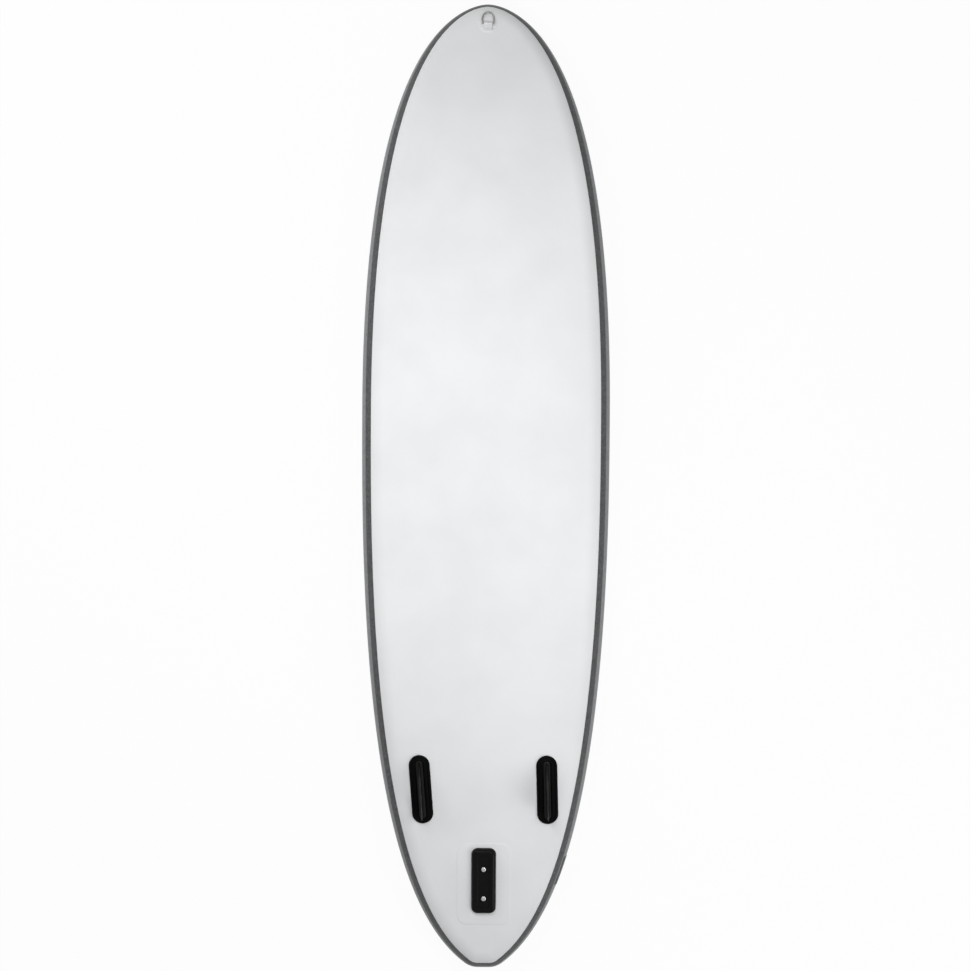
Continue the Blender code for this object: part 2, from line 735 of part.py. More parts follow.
# Carry handle
def make_handle():
    frame = surface_frame(0.0, HANDLE_Y, DECK)
    base = PATCH_THICKNESS + 2 * GAP
    foot = HANDLE_LENGTH / 2
    top = HANDLE_GRIP_LENGTH / 2 + HANDLE_STRAP_THICKNESS * 2
    path = [(-foot, base)]
    for i in range(HANDLE_BEND_STEPS + 1):
        share = i / HANDLE_BEND_STEPS
        ease = (1 - math.cos(math.pi * share)) / 2
        y = -foot + HANDLE_TAIL + (foot - HANDLE_TAIL - top) * share
        path.append((y, base + HANDLE_RISE * ease))
    path += [(-y, h) for y, h in path[::-1]]
    loops = []
    for i, (y, h) in enumerate(path):
        before, after = path[max(i - 1, 0)], path[min(i + 1, len(path) - 1)]
        run = Vector((after[0] - before[0], after[1] - before[1])).normalized()
        across = Vector((-run.y, run.x)) * HANDLE_STRAP_THICKNESS
        half = HANDLE_STRAP_WIDTH / 2
        low, high = (y, h), (y + across.x, h + across.y)
        loops.append(
            [
                Vector((-half, low[0], low[1])),
                Vector((half, low[0], low[1])),
                Vector((half, high[0], high[1])),
                Vector((-half, high[0], high[1])),
            ]
        )
    placed(add_object("handle_webbing", stack_loops(loops), BLACK_WEBBING), frame)

    middle = base + HANDLE_RISE + HANDLE_STRAP_THICKNESS / 2
    sleeve = []
    bore_width = HANDLE_STRAP_WIDTH + 2 * GAP
    bore_depth = HANDLE_STRAP_THICKNESS + 2 * GAP
    for width, depth, corner, end in (
        (HANDLE_GRIP_WIDTH, HANDLE_GRIP_DEPTH, HANDLE_GRIP_ROUNDING, -1),
        (HANDLE_GRIP_WIDTH, HANDLE_GRIP_DEPTH, HANDLE_GRIP_ROUNDING, 1),
        (bore_width, bore_depth, GAP, 1),
        (bore_width, bore_depth, GAP, -1),
    ):
        outline = rounded_outline(depth, width, corner, 4)
        y = end * HANDLE_GRIP_LENGTH / 2
        sleeve.append([Vector((p.x, y, middle + p.y)) for p in outline])
    placed(add_object("handle_grip", stack_loops(sleeve, closed_ends=False), BLACK_RUBBER), frame)

    for name, end in (("front", 1), ("rear", -1)):
        rows = rounded_rows(HANDLE_PATCH_LENGTH, HANDLE_PATCH_WIDTH, HANDLE_PATCH_CORNER, 3)
        place = (0.0, HANDLE_Y + end * (foot - HANDLE_TAIL / 2))
        draped_plate("handle_patch_" + name, rows, place, DECK, PATCH_THICKNESS, GAP, PALE_GREY_PVC)


# Rings on webbing loops
def ring_path(width, reach):
    """Centre line of the wire, a D with its bar on local X and its bow along local Y."""
    half = width / 2 - RING_WIRE / 2
    bow = reach - RING_WIRE / 2
    shoulder = min(RING_CORNER + RING_LEG, bow - RING_WIRE)
    path = []
    for i in range(RING_ARC_STEPS + 1):
        angle = math.pi * i / RING_ARC_STEPS
        y = shoulder + (bow - shoulder) * math.sin(angle)
        path.append(Vector((half * math.cos(angle), y, 0.0)))
    for side in (-1, 1):
        for i in range(RING_CORNER_STEPS + 1):
            angle = math.pi / 2 * i / RING_CORNER_STEPS
            away, rise = 1 - math.cos(angle), 1 - math.sin(angle)
            if side > 0:
                away, rise = rise, away
            path.append(Vector((side * (half - RING_CORNER * away), RING_CORNER * rise, 0.0)))
    return path


def ring_mesh(path):
    loops = []
    for i, point in enumerate(path):
        run = (path[(i + 1) % len(path)] - path[i - 1]).normalized()
        side = run.cross(Vector((0, 0, 1)))
        loop = []
        for k in range(RING_SIDES):
            angle = 2 * math.pi * (k + 0.5) / RING_SIDES
            offset = side * math.cos(angle) + Vector((0, 0, 1)) * math.sin(angle)
            loop.append(point + offset * RING_WIRE / 2)
        loops.append(loop)
    return stack_loops(loops, closed_ends=False)


def loop_mesh(width):
    """Webbing round the ring's bar, its two ends together along local -Y."""
    inner = RING_WIRE / 2 + LOOP_CLEARANCE
    outer = inner + LOOP_WEBBING
    ends_top = 2 * LOOP_WEBBING - outer
    rim = []
    hole = []
    for i in range(LOOP_STEPS + 1):
        angle = math.radians(-90 + 270 * i / LOOP_STEPS)
        rim.append((outer * math.cos(angle), outer * math.sin(angle)))
    rim.append((-outer - inner, ends_top + LOOP_PINCH))
    rim.append((-outer - LOOP_TAIL, ends_top))
    rim.append((-outer - LOOP_TAIL, -outer))
    for i in range(LOOP_STEPS):
        angle = 2 * math.pi * (i + 0.5) / LOOP_STEPS - math.pi / 2
        hole.append((inner * math.cos(angle), inner * math.sin(angle)))
    mesh_data = bmesh.new()
    for x in (-width / 2, width / 2):
        edges = []
        for ring in (rim, hole):
            verts = [mesh_data.verts.new((x, y, z)) for y, z in ring]
            for i in range(len(verts)):
                edges.append(mesh_data.edges.new((verts[i], verts[(i + 1) % len(verts)])))
        bmesh.ops.triangle_fill(mesh_data, use_beauty=True, use_dissolve=False, edges=edges)
    mesh_data.verts.ensure_lookup_table()
    count = len(rim) + len(hole)
    v = mesh_data.verts
    for start, ring in ((0, rim), (len(rim), hole)):
        for i in range(len(ring)):
            a, b = start + i, start + (i + 1) % len(ring)
            mesh_data.faces.new((v[a], v[b], v[b + count], v[a + count]))
    return close_and_clean(mesh_data)


def hanging_tilt(y):
    """The turn that lets a ring under the deck hang straight down."""
    run = along(y)
    return math.atan2(run.y, -run.z)


def lying_tilt(path, x, y, frame):
    """The turn at which a ring's bow lies on the bottom, clear of the skin and of its own patch."""
    to_ring = frame.inverted()
    clear = BENT_GAP + PATCH_THICKNESS + GAP + RING_WIRE / 2
    tilts = []
    for point in path:
        if point.y > RING_WIRE:
            lowest = to_ring @ laid_point(x + point.x, y + point.y, BOTTOM, clear)
            tilts.append(math.atan2(lowest.z, lowest.y))
    return max(tilts)


def make_ring(name, x, y, side, width, reach, webbing, patch):
    """A ring, its webbing loop and its round patch, with the ring's bar on its hinge axis."""
    rows = rounded_rows(RING_PATCH_DIAMETER, RING_PATCH_DIAMETER, RING_PATCH_DIAMETER / 2)
    strips = NOSE_PATCH_STRIPS if side == BOTTOM else 1
    draped_plate(name + "_patch", rows, (x, y), side, PATCH_THICKNESS, BENT_GAP, patch, strips)
    bar_height = BENT_GAP + PATCH_THICKNESS + GAP + LOOP_WEBBING + LOOP_CLEARANCE + RING_WIRE / 2
    frame = surface_frame(x, y, side, 0.0, bar_height)
    bar_length = width - RING_WIRE - 2 * RING_CORNER
    loop = add_object(name + "_loop", loop_mesh(bar_length - LOOP_SIDE_CLEARANCE), webbing)
    placed(loop, frame)
    path = ring_path(width, reach)
    tilt = lying_tilt(path, x, y, frame) if side == BOTTOM else hanging_tilt(y)
    placed(add_object(name, ring_mesh(path), STEEL), frame @ Matrix.Rotation(tilt, 4, "X"))


def make_rings():
    nose_y = NOSE_END - NOSE_RING_FROM_NOSE
    size = (NOSE_RING_WIDTH, NOSE_RING_REACH)
    make_ring("nose_ring", 0.0, nose_y, BOTTOM, *size, WHITE_WEBBING, WHITE_PVC)
    leash_y = TAIL_END + LEASH_RING_FROM_TAIL
    size = (LEASH_RING_WIDTH, LEASH_RING_REACH)
    make_ring("leash_ring", 0.0, leash_y, DECK, *size, BLACK_WEBBING, PALE_GREY_PVC)
    size = (CARGO_RING_WIDTH, CARGO_RING_REACH)
    rear_y = TAIL_END + PAD_REAR_FROM_TAIL + PAD_LENGTH + CARGO_REAR_AHEAD_OF_PAD
    for end, y in (("rear", rear_y), ("front", rear_y + CARGO_FRONT_AHEAD_OF_REAR)):
        aside = panel_half_width(y) - CARGO_INSIDE_PANEL
        for hand, x in (("left", -aside), ("right", aside)):
            name = "cargo_ring_" + end + "_" + hand
            make_ring(name, x, y, DECK, *size, BLACK_WEBBING, PALE_GREY_PVC)


# Side fins
def fin_mesh():
    """A raked blade with a foil section over a flat foot, length along local Y, height along local Z."""
    foot = rounded_outline(FIN_FOOT_LENGTH, FIN_FOOT_WIDTH, FIN_FOOT_WIDTH / 2, 4)
    levels = [raised(foot, 0.0), raised(foot, FIN_FOOT_HEIGHT)]
    tip_front = FIN_TIP_LENGTH / 2 - FIN_TIP_BEHIND_MIDDLE
    tip_rear = -FIN_TIP_LENGTH / 2 - FIN_TIP_BEHIND_MIDDLE
    root_front, root_rear = FIN_ROOT_LENGTH / 2, -FIN_ROOT_LENGTH / 2
    for i in range(FIN_LEVELS + 1):
        share = i / FIN_LEVELS
        height = FIN_FOOT_HEIGHT + (FIN_HEIGHT - FIN_FOOT_HEIGHT) * share
        front = tip_front + (root_front - tip_front) * (1 - share**FIN_FRONT_CURVE)
        rear = tip_rear + (root_rear - tip_rear) * (1 - share) ** FIN_REAR_CURVE
        rear += FIN_REAR_HOLLOW * math.sin(math.pi * share) * (1 - share)
        thickness = FIN_ROOT_THICKNESS + (FIN_TIP_THICKNESS - FIN_ROOT_THICKNESS) * share
        if i == FIN_LEVELS:
            middle = (front + rear) / 2
            front = middle + (front - middle) * FIN_TIP_TAPER
            rear = middle + (rear - middle) * FIN_TIP_TAPER
            thickness *= FIN_TIP_TAPER
        loop = []
        for p in foot:
            y_share = p.y / FIN_FOOT_LENGTH + 0.5
            y = rear + (front - rear) * y_share
            fullness = 1 - FIN_FRONT_FULLNESS * (1 - y_share)
            foil = 2 * math.sqrt(max(0.0, y_share * (1 - y_share))) * fullness
            x = 0.0 if abs(p.x) < GAP else math.copysign(thickness / 2 * foil, p.x)
            loop.append(Vector((x, y, height)))
        levels.append(loop)
    return stack_loops(levels)


def make_side_fin(hand, x, turn):
    y = TAIL_END + SIDE_FIN_FROM_TAIL
    frame = surface_frame(x, y, BOTTOM, turn, BENT_GAP)
    half_round = FIN_PAD_WIDTH / 2
    base = rounded_outline(FIN_PAD_LENGTH, FIN_PAD_WIDTH, half_round, 7)
    top_length, top_width = FIN_PAD_LENGTH - 2 * FIN_PAD_BEVEL, FIN_PAD_WIDTH - 2 * FIN_PAD_BEVEL
    top = rounded_outline(top_length, top_width, top_width / 2, 7)
    levels = [(base, 0.0), (base, FIN_PAD_EDGE), (top, FIN_PAD_HEIGHT)]
    pad = placed(add_object("side_fin_pad_" + hand, block(levels), BLACK_RUBBER), frame)
    pocket = rounded_outline(
        FIN_FOOT_LENGTH + 2 * GAP, FIN_FOOT_WIDTH + 2 * GAP, FIN_FOOT_WIDTH / 2 + GAP, 4
    )
    floor = FIN_PAD_HEIGHT - FIN_POCKET_DEPTH
    cut = block([(pocket, floor), (pocket, FIN_PAD_HEIGHT + FIN_POCKET_DEPTH)])
    boolean(pad, cutter("fin_pocket_" + hand, cut, frame))
    seat = frame @ Matrix.Translation((0.0, 0.0, floor + GAP))
    placed(add_object("side_fin_" + hand, fin_mesh(), BLACK_PLASTIC), seat)


# Centre fin box
def make_fin_box():
    y = TAIL_END + FIN_BOX_FROM_TAIL
    lift = GAP + PATCH_THICKNESS + BENT_GAP
    frame = surface_frame(0.0, y, BOTTOM, 0.0, lift)
    base = rounded_outline(FIN_BOX_LENGTH, FIN_BOX_WIDTH, FIN_BOX_CORNER)
    face_length, face_width = FIN_BOX_LENGTH - 2 * FIN_BOX_BEVEL, FIN_BOX_WIDTH - 2 * FIN_BOX_BEVEL
    top = rounded_outline(face_length, face_width, FIN_BOX_CORNER - FIN_BOX_BEVEL)
    levels = [(base, 0.0), (base, FIN_BOX_EDGE), (top, FIN_BOX_HEIGHT)]
    box = placed(add_object("fin_box", block(levels), BLACK_PLASTIC), frame)
    floor = FIN_BOX_HEIGHT - CHANNEL_DEPTH
    channel = rounded_outline(CHANNEL_LENGTH, CHANNEL_WIDTH, CHANNEL_CORNER)
    above = FIN_BOX_HEIGHT + CHANNEL_DEPTH
    boolean(box, cutter("channel_cut", block([(channel, floor), (channel, above)]), frame))
    rows = rounded_rows(FIN_BOX_PATCH_LENGTH, FIN_BOX_PATCH_WIDTH, FIN_BOX_PATCH_CORNER)
    patch_place = (0.0, y - FIN_BOX_PATCH_BEHIND)
    draped_plate("fin_box_patch", rows, patch_place, BOTTOM, PATCH_THICKNESS, GAP, WHITE_PVC)

    bore = INSERT_DIAMETER / 2 + GAP
    seat = floor - COUNTERBORE_DEPTH
    for name, end in (("front", 1), ("rear", -1)):
        place = frame @ Matrix.Translation(
            (0.0, end * SCREW_SPACING / 2 - SCREWS_BEHIND_MIDDLE, 0.0)
        )
        wide = COUNTERBORE_DIAMETER / 2
        deep = seat - INSERT_LENGTH - 2 * GAP
        cut = turned([(wide, above), (wide, seat), (bore, seat), (bore, deep)])
        boolean(box, cutter("screw_seat_" + name, cut, place))
        thread = SCREW_SHANK_DIAMETER / 2 + GAP
        low, high = deep + GAP, deep + GAP + INSERT_LENGTH
        body = INSERT_DIAMETER / 2
        insert = turned_ring([(body, low), (body, high), (thread, high), (thread, low)])
        placed(add_object("fin_insert_" + name, insert, BRASS), place)
        make_screw("fin_screw_" + name, place, seat + GAP)


def make_screw(name, place, under_head):
    head, shank = SCREW_HEAD_DIAMETER / 2, SCREW_SHANK_DIAMETER / 2
    top = under_head + SCREW_HEAD_HEIGHT
    body = turned(
        [
            (shank - SCREW_POINT, under_head - SCREW_SHANK_LENGTH),
            (shank, under_head - SCREW_SHANK_LENGTH + SCREW_POINT),
            (shank, under_head),
            (head, under_head),
            (head, under_head + SCREW_HEAD_RIM),
            (SCREW_HEAD_CROWN, top),
        ]
    )
    screw = placed(add_object(name, body, STEEL), place)
    arms = ((SCREW_SLOT_LENGTH, SCREW_SLOT_WIDTH), (SCREW_SLOT_WIDTH, SCREW_SLOT_LENGTH))
    for number, size in enumerate(arms):
        slot = box_data((size[0], size[1], 2 * SCREW_SLOT_DEPTH), (0.0, 0.0, top))
        boolean(screw, cutter(name + "_slot_" + str(number), slot, place))


# Inflation valve, local Z pointing out of the deck
def make_valve():
    frame = surface_frame(0.0, VALVE_Y, DECK)
    inner_end = -SKIN_THICKNESS - VALVE_DEPTH
    flange_low = 2 * GAP
    flange_top = flange_low + VALVE_FLANGE_HEIGHT
    body = placed(
        add_object(
            "valve_body",
            turned_ring(
                [
                    (VALVE_BORE, flange_top),
                    (VALVE_FLANGE - VALVE_FLANGE_CHAMFER, flange_top),
                    (VALVE_FLANGE, flange_top - VALVE_FLANGE_CHAMFER),
                    (VALVE_FLANGE, flange_low),
                    (VALVE_BARREL, flange_low),
                    (VALVE_BARREL, inner_end),
                    (VALVE_BORE, inner_end),
                ]
            ),
            BLACK_PLASTIC,
        ),
        frame,
    )
    hub = turned([(SPIDER_HUB_RADIUS, inner_end), (SPIDER_HUB_RADIUS, inner_end + SPIDER_HEIGHT)])
    boolean(body, cutter("spider_hub", hub, frame), "UNION")
    reach = VALVE_BORE + VALVE_WALL / 2
    for number in range(2):
        size = (2 * reach, SPIDER_ARM_WIDTH, SPIDER_HEIGHT)
        arm = box_data(size, (0.0, 0.0, inner_end + SPIDER_HEIGHT / 2))
        turn = frame @ Matrix.Rotation(math.radians(90.0 * number), 4, "Z")
        boolean(body, cutter("spider_arm_" + str(number), arm, turn), "UNION")
    bore = STEM_RADIUS + GAP
    guide = turned([(bore, inner_end - SPIDER_HEIGHT), (bore, inner_end + 2 * SPIDER_HEIGHT)])
    boolean(body, cutter("stem_guide", guide, frame))

    gasket_top = -SKIN_THICKNESS - 2 * GAP
    gasket_low = gasket_top - GASKET_THICKNESS
    around = VALVE_BARREL + GAP
    outer = around + BACK_NUT_WALL
    ring = [(outer, gasket_low), (outer, gasket_top), (around, gasket_top), (around, gasket_low)]
    placed(add_object("valve_gasket", turned_ring(ring), BLACK_RUBBER), frame)
    nut_top = gasket_low - GAP
    nut_low = nut_top - BACK_NUT_HEIGHT
    ring = [(outer, nut_low), (outer, nut_top), (around, nut_top), (around, nut_low)]
    placed(add_object("valve_back_nut", turned_ring(ring), BLACK_PLASTIC), frame)

    seal_top = inner_end - GAP
    seal_low = seal_top - SEAL_THICKNESS
    disc_top = seal_low - GAP
    button_top = flange_top - STEM_BUTTON_INSET
    button_low = button_top - STEM_BUTTON_HEIGHT
    disc = VALVE_BORE + SEAL_OVERLAP
    edge = STEM_BUTTON_CHAMFER
    stem = turned(
        [
            (disc, disc_top - STEM_DISC_HEIGHT),
            (disc, disc_top),
            (STEM_RADIUS, disc_top),
            (STEM_RADIUS, button_low),
            (STEM_BUTTON_RADIUS, button_low),
            (STEM_BUTTON_RADIUS, button_top - edge),
            (STEM_BUTTON_RADIUS - edge, button_top),
        ]
    )
    placed(add_object("valve_stem", stem, WHITE_WEBBING), frame)
    ring = [(disc, seal_low), (disc, seal_top), (bore, seal_top), (bore, seal_low)]
    placed(add_object("valve_seal", turned_ring(ring), BLACK_RUBBER), frame)
    make_valve_spring(frame, inner_end + SPIDER_HEIGHT + GAP, button_low - GAP)

    make_valve_cap(frame, flange_top)


def make_valve_cap(frame, flange_top):
    cap_low = flange_top + CAP_SEAL_WIRE + 2 * GAP
    seal_radius = VALVE_FLANGE - 2 * CAP_SEAL_WIRE
    wire = CAP_SEAL_WIRE / 2
    centre = flange_top + GAP + wire
    ring = []
    for i in range(CAP_SEAL_SIDES):
        angle = -2 * math.pi * i / CAP_SEAL_SIDES
        ring.append((seal_radius + wire * math.cos(angle), centre + wire * math.sin(angle)))
    placed(add_object("valve_cap_seal", turned_ring(ring), BLACK_RUBBER), frame)
    plug = VALVE_BORE - GAP
    plug_low = flange_top - CAP_PLUG_DEPTH
    face = cap_low + CAP_FACE_HEIGHT
    cap = turned(
        [
            (plug, plug_low),
            (plug, cap_low),
            (VALVE_FLANGE, cap_low),
            (VALVE_FLANGE, cap_low + CAP_RIM_HEIGHT),
            (VALVE_FLANGE - CAP_SHOULDER_INSET, cap_low + CAP_SHOULDER_HEIGHT),
            (VALVE_FLANGE - CAP_FACE_INSET, face),
        ]
    )
    cap = placed(add_object("valve_cap", cap, BLACK_PLASTIC), frame)
    hollow = plug - CAP_PLUG_WALL
    cup = turned([(hollow, plug_low - CAP_PLUG_DEPTH), (hollow, cap_low)])
    boolean(cap, cutter("cap_hollow", cup, frame))
    wide = rounded_outline(CAP_GRIP_LENGTH, CAP_GRIP_WIDTH, CAP_GRIP_WIDTH / 2, 4)
    narrow_length = CAP_GRIP_LENGTH - 2 * CAP_GRIP_CHAMFER
    narrow_width = CAP_GRIP_WIDTH - 2 * CAP_GRIP_CHAMFER
    narrow = rounded_outline(narrow_length, narrow_width, narrow_width / 2, 4)
    grip_top = face + CAP_GRIP_HEIGHT
    grip = block(
        [(wide, cap_low + CAP_RIM_HEIGHT), (wide, grip_top - CAP_GRIP_CHAMFER), (narrow, grip_top)]
    )
    boolean(cap, cutter("cap_grip", grip, frame), "UNION")


def make_valve_spring(frame, low, high):
    radius = STEM_RADIUS + SPRING_CLEARANCE + SPRING_WIRE / 2
    total = SPRING_TURNS * SPRING_TURN_STEPS
    wire = SPRING_WIRE / 2
    start, end = low + wire, high - wire
    path = []
    for i in range(total + 1):
        angle = 2 * math.pi * i / SPRING_TURN_STEPS
        height = start + (end - start) * i / total
        path.append(Vector((radius * math.cos(angle), radius * math.sin(angle), height)))
    loops = []
    for i, point in enumerate(path):
        run = (path[min(i + 1, total)] - path[max(i - 1, 0)]).normalized()
        out = Vector((point.x, point.y, 0.0)).normalized()
        across = run.cross(out)
        loops.append(
            [
                point + (out * math.cos(a) + across * math.sin(a)) * wire
                for a in (2 * math.pi * k / SPRING_WIRE_SIDES for k in range(SPRING_WIRE_SIDES))
            ]
        )
    placed(add_object("valve_spring", stack_loops(loops), STEEL), frame)


make_hull()
make_threads()
make_deck_pad()
make_handle()
make_rings()
make_side_fin("left", -SIDE_FIN_SPREAD / 2, LEFT_FIN_TURN)
make_side_fin("right", SIDE_FIN_SPREAD / 2, RIGHT_FIN_TURN)
make_fin_box()
make_valve()
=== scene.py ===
# Inflatable stand-up paddle board, bottom up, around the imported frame. Metres, +Z up, +Y to the nose.
import math

import bmesh
import bpy
from mathutils import Matrix, Vector


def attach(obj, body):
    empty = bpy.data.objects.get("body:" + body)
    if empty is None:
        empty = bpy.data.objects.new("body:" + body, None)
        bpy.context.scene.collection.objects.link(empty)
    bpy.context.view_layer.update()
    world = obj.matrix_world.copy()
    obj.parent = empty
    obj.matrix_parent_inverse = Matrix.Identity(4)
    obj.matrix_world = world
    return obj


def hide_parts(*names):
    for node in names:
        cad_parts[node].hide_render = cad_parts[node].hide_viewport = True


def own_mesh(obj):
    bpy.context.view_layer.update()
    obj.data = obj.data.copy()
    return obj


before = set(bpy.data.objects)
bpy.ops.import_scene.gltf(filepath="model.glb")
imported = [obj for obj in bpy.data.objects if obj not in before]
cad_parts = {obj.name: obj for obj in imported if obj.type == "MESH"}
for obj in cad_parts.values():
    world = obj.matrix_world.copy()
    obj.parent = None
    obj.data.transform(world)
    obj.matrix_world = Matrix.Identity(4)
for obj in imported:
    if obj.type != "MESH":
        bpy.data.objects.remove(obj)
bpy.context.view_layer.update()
print("frame loaded with", len(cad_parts), "nodes")

bottomSide = 1
deckSide = -1
seat = 0.0002  # how far a laid piece reaches into what carries it, so no light shows under it
localX = Vector((1.0, 0.0, 0.0))
localZ = Vector((0.0, 0.0, 1.0))


# Camera first: straight above the board, nose up, the board leaning a hair to the right
photoCamera = {
    "place": (-0.0021, 0.0012, 8.0),
    "lean": 0.0052,
    "lens": 88.27,
    "sensor": 36.0,
}


def makeCamera():
    data = bpy.data.cameras.new("photoCamera")
    data.lens = photoCamera["lens"]
    data.sensor_width = photoCamera["sensor"]
    data.clip_end = 60.0
    camera = bpy.data.objects.new("photoCamera", data)
    camera.location = photoCamera["place"]
    camera.rotation_euler = (0.0, 0.0, photoCamera["lean"])
    bpy.context.scene.collection.objects.link(camera)
    bpy.context.scene.camera = camera


# Colours and nodes
def toLinear(hexColour):
    channels = []
    for i in (1, 3, 5):
        value = int(hexColour[i : i + 2], 16) / 255
        channels.append(value / 12.92 if value <= 0.04045 else ((value + 0.055) / 1.055) ** 2.4)
    return (*channels, 1.0)


def addNode(tree, kind, links=None, **settings):
    # links hold a number, a socket, or a node whose first output is meant
    node = tree.nodes.new("ShaderNode" + kind)
    for key, value in settings.items():
        setattr(node, key, value)
    for key, value in (links or {}).items():
        if isinstance(value, bpy.types.Node):
            value = value.outputs[0]
        if isinstance(value, bpy.types.NodeSocket):
            tree.links.new(value, node.inputs[key])
        else:
            node.inputs[key].default_value = value
    return node


def startMaterial(name, slotName, roughness, metallic=0.0, ior=1.5, specular=0.5):
    made = bpy.data.materials.new(name)
    made.use_nodes = True
    made["slot"] = slotName
    tree = made.node_tree
    shader = tree.nodes["Principled BSDF"]
    shader.inputs["Roughness"].default_value = roughness
    shader.inputs["Metallic"].default_value = metallic
    shader.inputs["IOR"].default_value = ior
    shader.inputs["Specular IOR Level"].default_value = specular
    return made, tree, shader, addNode(tree, "TexCoord").outputs["Object"]


def perMetre(millimetres):
    # a pattern's scale, from the size that one of its marks has
    return 1000.0 / millimetres


def bandsPerMetre(millimetres):
    # a wave's scale, from how far apart its bands lie: at scale 1 they lie tau / 20 apart
    return perMetre(millimetres) * math.tau / 20


def dress(tree, shader, tone, tones, height, depth, spread=None):
    # two close tones from one pattern, a relief from another, and a roughness that drifts within a spread
    ramp = addNode(tree, "ValToRGB", {"Fac": tone})
    for element, position, colour in zip(ramp.color_ramp.elements, (0.34, 0.66), tones):
        element.position = position
        element.color = toLinear(colour)
    tree.links.new(ramp.outputs["Color"], shader.inputs["Base Color"])
    relief = addNode(tree, "Bump", {"Height": height, "Distance": depth})
    tree.links.new(relief.outputs["Normal"], shader.inputs["Normal"])
    if spread:
        limits = {"Value": tone, "To Min": spread[0], "To Max": spread[1]}
        tree.links.new(addNode(tree, "MapRange", limits).outputs["Result"], shader.inputs["Roughness"])


def grained(name, slotName, roughness, tones, slow, fine, depth, spread=None, **optics):
    # two noises, each (millimetres, detail, roughness): slow for the tone and the gloss, fine for the relief
    made, tree, shader, coords = startMaterial(name, slotName, roughness, **optics)
    noises = []
    for size, detail, rough in (slow, fine):
        look = {"Vector": coords, "Scale": perMetre(size), "Detail": detail, "Roughness": rough}
        noises.append(addNode(tree, "TexNoise", look))
    dress(tree, shader, noises[0], tones, noises[1], depth, spread)
    return made


def weave(tree, coords, warp, weft):
    # threads both ways, each (millimetres apart, how much they wander)
    threads = []
    for axis, (size, wander) in (("X", warp), ("Y", weft)):
        look = {"Vector": coords, "Scale": bandsPerMetre(size), "Distortion": wander}
        threads.append(addNode(tree, "TexWave", look, bands_direction=axis))
    return addNode(tree, "Math", dict(enumerate(threads)), operation="MULTIPLY")


# White PVC-coated polyester, calendered: even and a little blue, the base cloth just felt under the coat,
# with a faint drift of tone where it has been rolled and handled
def makeWhitePvc():
    made, tree, shader, coords = startMaterial("pvcCoatedPolyesterWhite", "white_pvc", 0.46, specular=0.22)
    drift = addNode(tree, "TexNoise", {"Vector": coords, "Scale": perMetre(240), "Detail": 4.0})
    # the cloth's threads lie 1 mm apart, drawn 31 mm apart so that they show at all
    cloth = weave(tree, coords, (31.416, 0.0), (31.416, 0.0))
    # the drop yarns pull the skin in at small dimples, seen only where light grazes it
    dimples = addNode(tree, "TexVoronoi", {"Vector": coords, "Scale": perMetre(16)}, feature="SMOOTH_F1")
    both = addNode(tree, "Math", {0: dimples, 1: 1.5, 2: cloth}, operation="MULTIPLY_ADD")
    dress(tree, shader, drift, ("#EBECEE", "#F1F2F3"), both, 0.00007, (0.42, 0.52))
    return made


# Pale grey patches of the same coated cloth on the deck side, roughened a little by the glue roller
def makePalePvc():
    made, tree, shader, coords = startMaterial("pvcCoatedPolyesterPaleGrey", "grey_pvc", 0.45)
    drift = addNode(tree, "TexNoise", {"Vector": coords, "Scale": perMetre(30), "Detail": 3.0})
    # threads 1 mm apart, drawn 19 mm apart
    cloth = weave(tree, coords, (18.85, 0.0), (18.85, 0.0))
    dress(tree, shader, drift, ("#C4C5C8", "#CFD0D3"), cloth, 0.00008, (0.40, 0.50))
    return made


# Dark grey tape and splice patch, heavier coated cloth, glued: coarser grain, small ripples at the bend
def makeTapePvc(name, tones):
    made, tree, shader, coords = startMaterial(name, "tape_pvc", 0.44, specular=0.3)
    look = {"Vector": coords, "Scale": perMetre(11), "Detail": 6.0, "Roughness": 0.7}
    mottle = addNode(tree, "TexNoise", look)
    ripple = addNode(tree, "TexNoise", {"Vector": coords, "Scale": perMetre(34), "Detail": 1.0})
    relief = addNode(tree, "Math", {0: mottle, 1: 0.3, 2: ripple}, operation="MULTIPLY_ADD")
    dress(tree, shader, mottle, tones, relief, 0.0004, (0.38, 0.52))
    return made


# Fin blades, injection-moulded TPU: black and slightly shiny, with streaks of flow along the blade
def makeFinPlastic():
    made, tree, shader, coords = startMaterial("tpuMouldedBlack", "fin_plastic", 0.34, specular=0.12)
    streaks = addNode(tree, "Mapping", {"Vector": coords, "Scale": (1.0, 0.25, 1.0)})
    flow = addNode(tree, "TexNoise", {"Vector": streaks, "Scale": perMetre(14), "Detail": 4.0})
    peel = addNode(tree, "TexNoise", {"Vector": coords, "Scale": perMetre(3), "Detail": 2.0})
    dress(tree, shader, flow, ("#0B0B0B", "#141415"), peel, 0.0001, (0.18, 0.28))
    return made


# Turned brass inserts, left as cut: tool rings round the axis, 0.5 mm apart and drawn 3 mm apart
def makeBrass():
    made, tree, shader, coords = startMaterial("brassTurned", "brass", 0.32, 1.0)
    look = {"Vector": coords, "Scale": bandsPerMetre(3.1416)}
    rings = addNode(tree, "TexWave", look, bands_direction="Z")
    tarnish = addNode(tree, "TexNoise", {"Vector": coords, "Scale": perMetre(3), "Detail": 3.0})
    dress(tree, shader, tarnish, ("#C9A35C", "#D8B36C"), rings, 0.00003)
    return made


